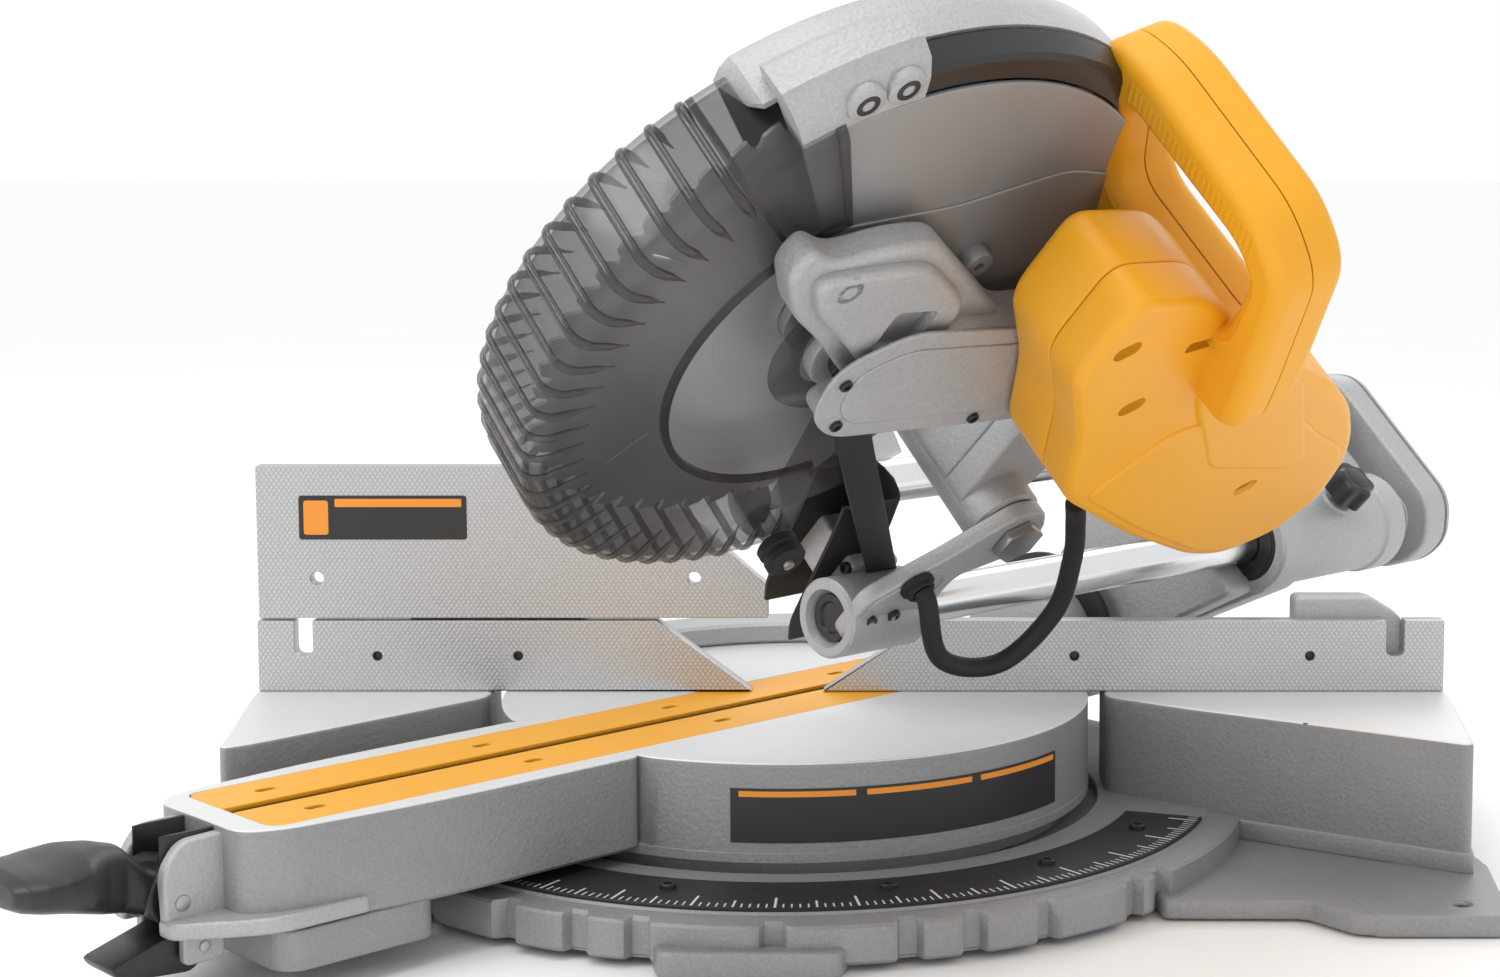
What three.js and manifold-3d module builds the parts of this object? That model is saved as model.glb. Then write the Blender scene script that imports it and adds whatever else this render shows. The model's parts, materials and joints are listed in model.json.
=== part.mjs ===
// Sliding compound miter saw, in millimetres.
// Origin: the miter pivot axis on the bench, +Z up, +X to the operator's right along the fence,
// +Y to the back. The saw stands at miter 45 left, bevel 45 right, head raised, carriage forward.
import * as THREE from "three";
import { mergeVertices } from "three/addons/utils/BufferGeometryUtils.js";
import Module from "manifold-3d";

const wasm = await Module();
wasm.setup();

// ---------- driving dimensions ----------
const TABLE = 86; // height of the table top over the bench
const DISC_R = 178; // radius of the turntable
const RING_R = 271; // outer radius of the base ring
const RING_TOP = 27; // top of the base ring
const MITER = 45; // degrees to the left
const BEVEL = 45; // degrees to the right
const ARM_TIP = 402; // reach of the arm in front of the pivot
const ARM_HALF = 58; // half the arm's width
const SLOT_HALF = 5; // half the width of the kerf slot
const PLATE_HALF = 43.5; // half the width over the kerf plates
const FENCE_LOW = 44; // height of the fixed fence over the table
const FENCE_HIGH = 139; // height of the sliding fence over the table
const FENCE_T = 12; // thickness of the fence plates
const BLADE_R = 152.4; // 12 inch blade
const ARBOR = [-215, 367]; // blade centre in the bevel frame: along the arm, up
const PIVOT = [-20, 225]; // chop pivot in the same frame
const MOTOR = [-40, 372]; // motor axis
const RAIL_X = 42; // the two rails stand this far left and right of the blade
const RAIL_Z = 152; // height of the rails over the table
const RAIL_R = 13;
const RAIL_BACK = 452;
const BEARING_R = 25;
const STOP_Z = 236; // height of the depth stop screw over the table
const HOUSING_FRONT = 266; // front face of the bevel housing
const HOUSING_BACK = 404;
const GAP = 0.3; // clearance between touching pieces

// ---------- materials ----------
const finish = (color, roughness, metalness, more = {}) =>
  new THREE.MeshStandardMaterial({ color, roughness, metalness, ...more });
const castGrey = finish(0xa9abad, 0.55, 0.6);
const machined = finish(0xc6c8ca, 0.35, 0.9);
const steel = finish(0x8f9296, 0.35, 0.95);
const darkSteel = finish(0x3b3d40, 0.45, 0.8);
const chrome = finish(0xd8dadc, 0.12, 1);
const yellow = finish(0xf2b01e, 0.45, 0);
const black = finish(0x1b1b1c, 0.6, 0);
const rubber = finish(0x141414, 0.85, 0);
const smoke = finish(0x3a3f44, 0.15, 0, { transparent: true, opacity: 0.45 });
const copper = finish(0x9a5a2c, 0.4, 0.8);
const bladeSteel = finish(0xa4a6a8, 0.3, 1);

// ---------- solids: joining and cutting ----------
function solidOf(geometry) {
  const plain = geometry.index ? geometry.toNonIndexed() : geometry.clone();
  plain.deleteAttribute("normal");
  plain.deleteAttribute("uv");
  const merged = mergeVertices(plain, 1e-4);
  return new wasm.Manifold(
    new wasm.Mesh({
      numProp: 3,
      vertProperties: new Float32Array(merged.attributes.position.array),
      triVerts: new Uint32Array(merged.index.array),
    }),
  );
}

const asSolid = (shape) => (shape.isBufferGeometry ? solidOf(shape) : shape);
const join = (first, ...rest) => rest.reduce((sum, s) => sum.add(asSolid(s)), asSolid(first));
const cut = (first, ...rest) => rest.reduce((sum, s) => sum.subtract(asSolid(s)), asSolid(first));
const common = (a, b) => asSolid(a).intersect(asSolid(b));

function geometryOf(solid) {
  const { numProp, numVert, vertProperties, triVerts } = solid.getMesh();
  const position = new Float32Array(numVert * 3);
  for (let i = 0; i < numVert; i++)
    position.set(vertProperties.subarray(i * numProp, i * numProp + 3), i * 3);
  const geometry = new THREE.BufferGeometry();
  geometry.setAttribute("position", new THREE.BufferAttribute(position, 3));
  geometry.setIndex(new THREE.BufferAttribute(triVerts, 1));
  return geometry;
}

// ---------- primitive shapes ----------
// The axes are turned so that a profile drawn flat and pulled up ends up lying along X, Y or Z.
const X = new THREE.Vector3(1, 0, 0);
const Y = new THREE.Vector3(0, 1, 0);
const Z = new THREE.Vector3(0, 0, 1);
const ALONG = {
  x: new THREE.Matrix4().makeBasis(Y, Z, X),
  y: new THREE.Matrix4().makeBasis(Z, X, Y),
  z: new THREE.Matrix4(),
};

// A closed shape through corner points, each corner rounded by the given radius.
function outline(points, radius = 0) {
  const shape = new THREE.Shape();
  const corners = points.map((p) => new THREE.Vector2(...p));
  const n = corners.length;
  corners.forEach((corner, i) => {
    const back = corners[(i + n - 1) % n].clone().sub(corner);
    const ahead = corners[(i + 1) % n].clone().sub(corner);
    const r = Math.min(radius, back.length() * 0.45, ahead.length() * 0.45);
    const enter = corner.clone().add(back.setLength(r));
    const leave = corner.clone().add(ahead.setLength(r));
    if (i === 0) shape.moveTo(enter.x, enter.y);
    else shape.lineTo(enter.x, enter.y);
    if (r > 0) shape.quadraticCurveTo(corner.x, corner.y, leave.x, leave.y);
  });
  return shape;
}

// A flat shape pulled along an axis from a to b: (y, z) for x, (z, x) for y, (x, y) for z.
function pulled(axis, shape, a, b, curveSegments = 2) {
  const flat = Array.isArray(shape) ? outline(shape) : shape;
  const geometry = new THREE.ExtrudeGeometry(flat, {
    depth: b - a,
    bevelEnabled: false,
    curveSegments,
  });
  return geometry.translate(0, 0, a).applyMatrix4(ALONG[axis]);
}

const box = (x0, x1, y0, y1, z0, z1) =>
  new THREE.BoxGeometry(x1 - x0, y1 - y0, z1 - z0).translate(
    (x0 + x1) / 2,
    (y0 + y1) / 2,
    (z0 + z1) / 2,
  );

// A turned piece: the profile lists (radius, height) and closes on itself or on the axis.
function turned(axis, profile, sides = 32) {
  const points = profile.map(([r, h]) => new THREE.Vector2(r, h));
  const onAxis = profile[0][0] === 0 && profile.at(-1)[0] === 0;
  if (!onAxis) points.push(points[0].clone());
  const geometry = new THREE.LatheGeometry(points, sides);
  return geometry.rotateX(Math.PI / 2).applyMatrix4(ALONG[axis]);
}

// A round bar along an axis, centred on (p, q) in the plane across it.
function rod(axis, p, q, r, a, b, sides = 16) {
  const bar = new THREE.CylinderGeometry(r, r, b - a, sides).rotateX(Math.PI / 2);
  return bar.translate(p, q, (a + b) / 2).applyMatrix4(ALONG[axis]);
}

const tube = (axis, p, q, outer, inner, a, b, sides = 20) =>
  cut(rod(axis, p, q, outer, a, b, sides), rod(axis, p, q, inner, a - 1, b + 1, sides));

// A sector of a ring across the X axis, between two angles in degrees counted from +Y to +Z.
function sector([cy, cz], inner, outer, from, to, x0, x1, steps = 16) {
  const at = (r, degrees) => {
    const a = THREE.MathUtils.degToRad(degrees);
    return [cy + r * Math.cos(a), cz + r * Math.sin(a)];
  };
  const angles = Array.from({ length: steps + 1 }, (_, i) => from + ((to - from) * i) / steps);
  const rim = angles.map((a) => at(outer, a));
  const bore = angles.reverse().map((a) => at(inner, a));
  return pulled("x", [...rim, ...bore], x0, x1);
}

// The same across the Y axis, with angles counted from +X to +Z.
function sectorAcrossY(cx, cz, inner, outer, from, to, y0, y1, steps = 16) {
  const at = (r, i) => {
    const a = THREE.MathUtils.degToRad(from + ((to - from) * i) / steps);
    return [cz + r * Math.sin(a), cx + r * Math.cos(a)];
  };
  const count = Array.from({ length: steps + 1 }, (_, i) => i);
  const rim = count.map((i) => at(outer, i));
  const bore = count.reverse().map((i) => at(inner, i));
  return pulled("y", [...rim, ...bore].reverse(), y0, y1);
}

// A knob's outline with lobes.
function star(cx, cy, outer, inner, lobes) {
  return Array.from({ length: lobes * 4 }, (_, i) => {
    const a = (i * Math.PI) / (lobes * 2);
    const r = (outer + inner) / 2 + ((outer - inner) / 2) * Math.cos(lobes * a);
    return [cx + r * Math.cos(a), cy + r * Math.sin(a)];
  });
}

// ---------- the tree of moving groups ----------
const saw = new THREE.Group();
const miter = new THREE.Group(); // turns about the vertical pivot
const bevel = new THREE.Group(); // leans about the kerf line at the table's height
miter.rotation.z = THREE.MathUtils.degToRad(-MITER);
bevel.position.z = TABLE;
bevel.rotation.y = THREE.MathUtils.degToRad(BEVEL);
saw.add(miter);
miter.add(bevel);

function piece(name, parent, material, shape) {
  const geometry = shape.isBufferGeometry ? shape : geometryOf(shape);
  const mesh = new THREE.Mesh(geometry, material);
  mesh.name = name;
  parent.add(mesh);
  return mesh;
}

// ---------- base ----------
// The ring carries the miter scale; two wings carry the fence and stand on four feet.
function wing(corners, foot, rearFoot) {
  const [cx, cy] = corners.reduce(([x, y], p) => [x + p[0], y + p[1]], [0, 0]);
  const mid = [cx / corners.length, cy / corners.length];
  const inner = corners.map((p) => p.map((value, i) => mid[i] + (value - mid[i]) * 0.88));
  const shell = cut(pulled("z", outline(corners, 8), 0, TABLE), pulled("z", inner, -1, TABLE - 9));
  return join(shell, pulled("z", outline(foot, 8), 0, 11), box(...rearFoot, 0, 11));
}
const ringWall = cut(turned("z", [
  [RING_R - 10, 4],
  [RING_R, 4],
  [RING_R, RING_TOP],
  [184, RING_TOP],
  [184, 19.5],
  [0, 19.5],
  [0, 11],
  [RING_R - 10, 11],
], 36), tube("z", 0, 0, 254, 190, 0, RING_TOP - 6, 36));
const rightWing = wing(
  [[188, -12], [236, -46], [384, -137], [398, -8], [398, 84], [256, 84], [188, 40]],
  [[312, -212], [388, -212], [398, -110], [300, -110]],
  [300, 380, 80, 112],
);
const leftWing = wing(
  [[-186, -12], [-186, 40], [-256, 84], [-331, 84], [-331, -8], [-314, -143], [-300, -134], [-240, -70]],
  [[-326, -196], [-331, -100], [-240, -100], [-262, -196]],
  [-320, -250, 80, 112],
);
const centreBoss = rod("z", 0, 0, 34, 0, 12, 18);
const frontTab = pulled("z", outline([[-58, -278], [34, -278], [44, -240], [-66, -240]], 6), 0, 14);
const handSlots = [-1, 1].map((s) =>
  box(s > 0 ? 372 : -345, s > 0 ? 410 : -305, -90, -10, 30, 58),
);
const pivotBore = rod("z", 0, 0, 9.3, 3, 22, 20);
const footHoles = [[366, -190], [-300, -176], [340, 100], [-285, 100]].map(([x, y]) =>
  rod("z", x, y, 5, -1, 12, 12));
piece("base_casting", saw, castGrey, cut(
  join(ringWall, rightWing, leftWing, centreBoss, frontTab),
  ...handSlots,
  pivotBore,
  ...footHoles,
));

const scaleRing = cut(
  tube("z", 0, 0, 262, 205, RING_TOP + 0.2, RING_TOP + 2.2, 36),
  box(-300, 300, 20, 300, 20, 40),
  pulled("z", [[0, 0], [-400, 60], [-400, 200]], 20, 40),
);
piece("miter_scale_plate", saw, black, cut(scaleRing, box(-300, -120, -100, 30, 20, 40),
  box(120, 300, -60, 30, 20, 40)));

// ---------- fences ----------
const fenceFoot = TABLE + 0.2;
const fenceTop = TABLE + FENCE_LOW;
const leftFence = pulled("y", [
  [fenceFoot, -329], [fenceFoot, -27], [fenceTop, -85], [fenceTop, -329],
], 0, FENCE_T);
const rightFence = pulled("y", [
  [fenceFoot, 16], [fenceFoot, 396], [fenceTop, 396], [fenceTop, 81],
], 0, FENCE_T);
const ledge = (x0, x1) => box(x0, x1, FENCE_T - 1, 48, TABLE + 0.2, TABLE + 14);
const rearBridge = cut(
  tube("z", 0, 0, 186, 150, TABLE + 0.2, TABLE + 14, 32),
  box(-250, 250, -250, 14, 0, 300),
);
const slideSlots = [-301, 366].map((x) =>
  pulled("y", outline([[TABLE + 22, x - 5], [TABLE + 22, x + 5], [TABLE + 60, x + 5],
    [TABLE + 60, x - 5]], 4), -1, FENCE_T + 1));
const fenceHoles = [-256, -170, 170, 314].map((x) => rod("y", TABLE + 22, x, 3, -1, FENCE_T + 1, 10));
piece("fixed_fence", saw, machined, cut(
  join(leftFence, rightFence, ledge(-329, -120), ledge(120, 396), rearBridge,
    box(-329, -250, FENCE_T - 1, 40, TABLE + 0.2, TABLE + 12),
    pulled("y", [[TABLE + 1, 306], [TABLE + 1, 372], [TABLE + 44, 372], [TABLE + 58, 352],
      [TABLE + 58, 306]], FENCE_T - 1, 34)),
  ...slideSlots,
  ...fenceHoles,
));

const upperFoot = TABLE + FENCE_LOW + 1.5;
const upperPlate = pulled("y", [
  [upperFoot, -328], [upperFoot, -17], [TABLE + 70, -17], [TABLE + FENCE_HIGH, -100],
  [TABLE + FENCE_HIGH, -328],
], 0.4, FENCE_T);
const slideFoot = box(-238, -130, FENCE_T + 0.5, 24, TABLE + 16, TABLE + 80);
const slideNeck = box(-238, -130, FENCE_T - 1, 24, TABLE + 62, TABLE + 80);
piece("sliding_fence_left", saw, machined, cut(
  join(upperPlate, slideNeck, slideFoot),
  rod("y", TABLE + 70, -292, 4, -1, 30, 12),
  rod("y", TABLE + 70, -62, 4, -1, 30, 12),
));
piece("fence_clamp_knob", saw, black, join(
  rod("y", TABLE + 40, -184, 4, 24.4, 40, 12),
  rod("y", TABLE + 40, -184, 14, 38, 54, 10),
));

// ---------- turntable, kerf plates and arm ----------
const armPlan = [
  [-ARM_HALF, 0], [-ARM_HALF, -300], [-50, -ARM_TIP + 20], [-40, -ARM_TIP], [40, -ARM_TIP],
  [50, -ARM_TIP + 20], [ARM_HALF, -300], [ARM_HALF, 0],
];
const disc = turned("z", [
  [0, 30.2], [120, 30.2], [120, 20.2], [169, 20.2], [DISC_R, 30], [DISC_R, TABLE], [0, TABLE],
], 40);
const armShape = pulled("z", outline(armPlan, 10), 34, TABLE);
const armDeep = cut(
  pulled("z", outline([[-56, -290], [-56, -385], [56, -385], [56, -290]], 8), 14, 40),
  box(-46, 46, -379, -200, 0, 60),
);
const cheeks = [-1, 1].map((side) =>
  pulled("x", outline([[-396, TABLE - 50], [-433, TABLE - 50], [-434, TABLE - 16],
    [-424, TABLE - 3], [-396, TABLE - 3]], 6), side > 0 ? 16 : -24, side > 0 ? 24 : -16));
const shelf = cut(
  pulled("z", outline([[-57, -340], [-57, -392], [-30, -434], [30, -434], [57, -392],
    [57, -340]], 14), TABLE - 50, TABLE - 42),
  box(-16, 16, -440, -404, 0, TABLE),
);
const latchEars = [-1, 1].map((side) =>
  box(side > 0 ? 18 : -24, side > 0 ? 24 : -18, -424, -402, 20, TABLE - 46));
const kerfPocket = pulled("z", outline([
  [-PLATE_HALF - GAP, -386], [PLATE_HALF + GAP, -386], [PLATE_HALF + GAP, 120],
  [-PLATE_HALF - GAP, 120],
], 6), TABLE - 3.2, TABLE + 1);
const kerfTrench = box(-16, 16, -380, 112, TABLE - 20, TABLE + 1);
const armHollow = box(-46, 46, -388, -185, 0, TABLE - 26);
const trunnion = join(
  box(-46, 46, 150, 214, 34, TABLE - 6),
  rod("y", TABLE, 0, 44, 196, 232, 18),
);
const trunnionTop = box(-60, 60, 120, 196, TABLE, TABLE + 60);
const trunnionBore = rod("y", TABLE, 0, 10.3, 190, 240, 20);
const centreBolt = rod("z", 0, 0, 9.3, 10, 60, 20);
const discHollow = tube("z", 0, 0, 162, 34, 19, TABLE - 14, 32);
piece("turntable", miter, castGrey, cut(
  join(disc, armShape, armDeep, trunnion, ...cheeks, shelf, ...latchEars),
  rod("x", -424, TABLE - 34, 4.3, -26, 26, 12),
  rod("x", -413, 28, 3.3, -26, 26, 12),
  discHollow,
  kerfPocket,
  kerfTrench,
  armHollow,
  trunnionTop,
  trunnionBore,
  centreBolt,
  rod("z", 0, 0, 15, 49.7, TABLE - 19, 20),
  rod("y", TABLE, 0, 17, 184, 196.3, 20),
  pulled("z", outline([[-16, -440], [-16, -385.6], [16, -385.6], [16, -440]], 8), TABLE - 23, TABLE + 1),
));
const kerfPlate = (side) => {
  const x0 = side * SLOT_HALF;
  const x1 = side * PLATE_HALF;
  return pulled("z", outline([
    [Math.min(x0, x1), -385.5], [Math.max(x0, x1), -385.5], [Math.max(x0, x1), 119.5],
    [Math.min(x0, x1), 119.5],
  ], 9), TABLE - 3, TABLE - 0.2);
};
piece("kerf_plate_left", miter, yellow, kerfPlate(-1));
piece("kerf_plate_right", miter, yellow, kerfPlate(1));
piece("miter_pivot_bolt", miter, steel, join(
  rod("z", 0, 0, 9, 3.3, 50, 20),
  rod("z", 0, 0, 14, 50, 58, 6),
));

// ---------- arm tip: cam lever that locks the miter, and the detent latch under it ----------
const leverAxis = [-424, TABLE - 34];
piece("lever_pocket", miter, black, cut(
  pulled("z", outline([[-15.6, -432], [-15.6, -386], [15.6, -386], [15.6, -432]], 8),
    TABLE - 22, TABLE - 2),
  pulled("z", outline([[-13, -440], [-13, -389], [13, -389], [13, -440]], 6), TABLE - 19, TABLE + 1),
  rod("x", ...leverAxis, 18, -20, 20),
));
const paddle = common(
  pulled("x", outline([[-430, 44], [-446, 46], [-480, 50], [-508, 62], [-506, 78], [-470, 90],
    [-446, 84], [-435, 62]], 8), -34, 34),
  pulled("z", outline([[-12.4, -404], [12.4, -404], [12.4, -452], [33, -470], [30, -506], [-30, -506],
    [-33, -470], [-12.4, -452]], 8), 30, 96),
);
piece("miter_lock_lever", miter, black, cut(
  join(rod("x", ...leverAxis, 13.5, -14.4, 14.4, 20), paddle),
  rod("x", ...leverAxis, 4.3, -40, 40, 12),
));
piece("lever_pin", miter, steel, rod("x", ...leverAxis, 4, -23.5, 23.5, 12));
piece("miter_lock_rod", miter, steel, rod("y", 20, 0, 4.5, -374, -272, 12));
piece("miter_detent_latch", miter, black, cut(
  join(
    rod("x", -413, 28, 8, -17.5, 17.5, 12),
    pulled("x", outline([[-408, 20], [-416, 14], [-452, 17], [-458, 24], [-420, 36]], 3), -15, 15),
  ),
  rod("x", -413, 28, 3.3, -40, 40, 12),
));
piece("latch_pin", miter, steel, rod("x", -413, 28, 3, -23.5, 23.5, 12));
piece("miter_pointer", miter, yellow, box(-9, 9, -268, -190, RING_TOP + 2.8, RING_TOP + 3.8));

// ---------- bevel trunnion ----------
piece("bevel_shaft", miter, steel, join(
  rod("y", TABLE, 0, 10, 197, 332, 20),
  rod("y", TABLE, 0, 16, 190, 195.6, 6),
  rod("y", TABLE, 0, 10, 194, 199, 20),
));
piece("bevel_scale", miter, black, sectorAcrossY(0, TABLE, 44.5, 60, 20, 160, 226, 231));

// ---------- bevel housing with the rail bearings ----------
const railSides = { left: -RAIL_X, right: RAIL_X };
const railTubes = Object.values(railSides).map((x) =>
  rod("y", RAIL_Z, x, 33, HOUSING_FRONT, HOUSING_BACK, 20));
const railBores = Object.values(railSides).map((x) =>
  rod("y", RAIL_Z, x, BEARING_R + GAP, 230, HOUSING_BACK + 1, 20));
const neck = pulled("y", outline([[-34, -28], [-34, 28], [60, 44], [140, 74], [150, 74],
  [150, -74], [140, -74], [60, -44]], 10), 240, 300);
const neckRib = pulled("y", [[20, -18], [20, 18], [130, 30], [130, -30]], 299, 380);
piece("bevel_housing", bevel, castGrey, cut(
  join(...railTubes, neck, neckRib, rod("y", 0, 0, 44, 232.5, 300, 18),
    box(-40, 40, HOUSING_FRONT, HOUSING_BACK, RAIL_Z - 26, RAIL_Z + 24)),
  ...railBores,
  box(-12, 12, HOUSING_FRONT + 20, HOUSING_BACK - 20, RAIL_Z - 40, RAIL_Z + 40),
  rod("y", 0, 0, 10.3, 200, 400, 20),
  box(-40, 40, 232, 240, -50, -44),
));
for (const [side, x] of Object.entries(railSides)) {
  [["front", HOUSING_FRONT], ["rear", HOUSING_BACK - 34]].forEach(([end, y]) =>
    piece(`rail_bearing_${side}_${end}`, bevel, darkSteel,
      tube("y", RAIL_Z, x, BEARING_R, RAIL_R + 0.06, y, y + 34, 20)));
}
piece("rail_lock_knob", bevel, black, join(
  pulled("z", star(RAIL_X, 336, 15, 12, 6), 190, 208),
  rod("z", RAIL_X, 336, 5, 185.4, 191, 12),
));
piece("bevel_clamp_lever", bevel, black, cut(
  join(rod("y", 0, 0, 20, 308, 326, 20),
    pulled("y", outline([[-8, 0], [6, 100], [20, 100], [14, 0]], 4), 310, 324)),
  rod("y", 0, 0, 10.3, 300, 340, 20),
));

// ---------- carriage: slides with both rails ----------
const carriage = new THREE.Group();
bevel.add(carriage);
for (const [side, x] of Object.entries(railSides))
  piece(`rail_${side}`, carriage, chrome,
    tube("y", RAIL_Z, x, RAIL_R, RAIL_R - 3, -98, RAIL_BACK - 2, 20));
const bracketShape = outline([[RAIL_Z - 34, -62], [RAIL_Z - 34, 62], [RAIL_Z - 8, 76],
  [RAIL_Z + 14, 76], [RAIL_Z + 36, 56], [RAIL_Z + 36, -56], [RAIL_Z + 14, -76], [RAIL_Z - 8, -76]], 14);
piece("rail_end_bracket", carriage, castGrey, cut(
  pulled("y", bracketShape, RAIL_BACK - 26, RAIL_BACK + 4),
  ...Object.values(railSides).map((x) =>
    rod("y", RAIL_Z, x, RAIL_R + GAP, RAIL_BACK - 30, RAIL_BACK - 1.6, 20)),
));
const ear = (x0, x1) => pulled("x", outline([[-102, 150], [-46, 136], [-44, 194], [-4, 208],
  [2, 228], [-10, 246], [-30, 246], [-64, 214], [-102, 184]], 6), x0, x1);
piece("carriage_casting", carriage, castGrey, cut(
  join(
    ...Object.values(railSides).map((x) => rod("y", RAIL_Z, x, 22, -104, -44, 18)),
    box(-44, 44, -82, -44, RAIL_Z - 14, RAIL_Z + 18),
    box(18, 40, -78, -46, RAIL_Z - 40, RAIL_Z - 10),
    ear(46, 56),
    ear(-56, -46),
  ),
  ...Object.values(railSides).map((x) => rod("y", RAIL_Z, x, RAIL_R + GAP, -98.3, -40, 20)),
  rod("x", ...PIVOT, 10.3, -80, 80, 20),
  box(26.3, 29.7, -110, -40, RAIL_Z - 32, 200),
));
piece("chop_pivot_pin", carriage, steel, join(
  rod("x", ...PIVOT, 10, -66, 58, 20),
  rod("x", ...PIVOT, 15, 56.4, 62, 6),
));
piece("return_spring", carriage, darkSteel, tube("x", ...PIVOT, 17, 11, -64, -57, 20));
const chuteWall = (x0, x1) =>
  pulled("x", outline([[-116, 218], [-62, 218], [-50, 180], [-20, 90], [-74, 88], [-96, 150]], 6), x0, x1);
piece("dust_chute", carriage, rubber, cut(
  join(chuteWall(-15.5, -13), chuteWall(13, 15.5),
    pulled("x", [[-66, 216], [-62, 217], [-50, 181], [-20, 91], [-25, 90], [-54, 179]], -13.5, 13.5)),
  box(-20, 20, -83, -43, RAIL_Z - 15, RAIL_Z + 19),
));
piece("depth_stop_plate", carriage, darkSteel, join(
  box(-45, -24, -78, -50, 174.4, 178.4),
  rod("z", -27, -64, 3, 170.3, 176, 12),
));
piece("lockdown_pin", carriage, black, join(
  rod("x", -56, 177, 4, -72, -56.6, 12),
  rod("x", -56, 177, 8, -82, -71, 12),
));

// ---------- head: swings down about the chop pivot ----------
const head = new THREE.Group();
carriage.add(head);
const castShape = outline([[-44, 222], [-40, 300], [-34, 404], [24, 392], [26, 300], [4, 222]], 8);
piece("head_casting", head, castGrey, cut(
  join(rod("x", ...PIVOT, 22, -45.5, 45.5, 18), pulled("x", castShape, -31.6, 28.6),
    box(-44, -31, -60, -34, STOP_Z - 7, STOP_Z + 7)),
  rod("y", STOP_Z, -38, 4.3, -70, -33, 12),
  rod("x", ...PIVOT, 10.16, -80, 80, 20),
  pulled("x", outline([[-26, 262], [-22, 380], [12, 376], [14, 262]], 6), -40, 12),
));

// The gear case runs from the arbor back to the motor and holds the belt.
const caseShape = outline([[-254, 352], [-232, 335], [-40, 334], [-8, 350], [-4, 380], [-20, 408],
  [-150, 404], [-230, 452], [-300, 452], [-312, 436], [-290, 404]], 16);
const beltRoom = outline([[-243, 354], [-226, 341], [-40, 342], [-16, 354], [-14, 380], [-28, 398],
  [-150, 394], [-226, 394], [-244, 380]], 8);
piece("gear_case", head, castGrey, cut(
  join(pulled("x", caseShape, 29.4, 54), rod("x", -236, 366, 4, 29.4, 54)),
  pulled("x", beltRoom, 36, 60),
  rod("x", ...ARBOR, 18.3, 20, 40, 18),
  rod("x", ...MOTOR, 18.3, 20, 40, 18),
));
const caseCover = outline([[-254, 352], [-232, 335], [-40, 334], [-8, 350], [-4, 380], [-20, 408],
  [-150, 404], [-226, 406], [-258, 384]], 14);
piece("gear_case_cover", head, castGrey, cut(
  pulled("x", caseCover, 54.3, 57),
  rod("x", ...MOTOR, 9, 50, 60, 20),
));

// Upper guard: a cast cover on the left and over the top, a steel plate on the right.
piece("upper_guard", head, castGrey, join(
  sector(ARBOR, 58, 176, -8, 150, -35.8, -32.2),
  sector(ARBOR, 172, 176, 12, 142, -33, 4),
  sector(ARBOR, 172, 190, 112, 138, -35.8, 40, 8),
  pulled("x", outline([[-42, 262], [-44, 400], [18, 388], [20, 300], [-4, 262]], 8), -35.8, -32.2),
));
piece("upper_guard_plate", head, steel, join(
  sector(ARBOR, 60, 158, -14, 132, 19, 21),
  rod("x", ARBOR[0] + 40, ARBOR[1] + 52, 8, 20, 29.1, 12),
  rod("x", ARBOR[0] - 20, ARBOR[1] + 68, 8, 20, 29.1, 12),
));
piece("blade_access_cover", head, steel, join(
  rod("x", ...ARBOR, 68, -38.4, -36.2, 20),
  rod("x", ARBOR[0], ARBOR[1] + 56, 6, -41, -38.2, 6),
));

// Motor housing, with the field inside it and a shell over its end.
const motorShape = [[-190, 488], [-190, 436], [-150, 392], [-120, 342], [-40, 302], [37, 271],
  [69, 266], [105, 280], [120, 310], [110, 345], [94, 366], [68, 390], [32, 411], [-3, 424],
  [-60, 446], [-140, 488]];
const inset = (points, by) => {
  const sum = points.reduce(([x, y], p) => [x + p[0], y + p[1]]);
  const [cx, cy] = sum.map((value) => value / points.length);
  return points.map(([x, y]) => {
    const d = Math.hypot(x - cx, y - cy);
    return [cx + ((x - cx) * (d - by)) / d, cy + ((y - cy) * (d - by)) / d];
  });
};
piece("motor_housing", head, yellow, cut(
  pulled("x", outline(motorShape, 12), 57.3, 92),
  pulled("x", outline(inset(motorShape, 6), 10), 61, 100),
  rod("x", ...MOTOR, 12.3, 50, 70, 20),
));
piece("motor_end_cover", head, yellow, cut(
  pulled("x", outline(motorShape, 12), 92.3, 118),
  pulled("x", outline(inset(motorShape, 6), 10), 90, 114),
));
piece("motor_field", head, darkSteel, tube("x", ...MOTOR, 52, 34, 64, 104, 20));

// D-handle across the head: a closed loop in two halves, with the trigger under its bar.
const HANDLE = { x: 68.5, y: -90, z: 452, lean: 30 };
const handleFrame = new THREE.Group();
handleFrame.position.set(HANDLE.x, HANDLE.y, HANDLE.z);
handleFrame.rotation.x = THREE.MathUtils.degToRad(HANDLE.lean);
head.add(handleFrame);
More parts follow.
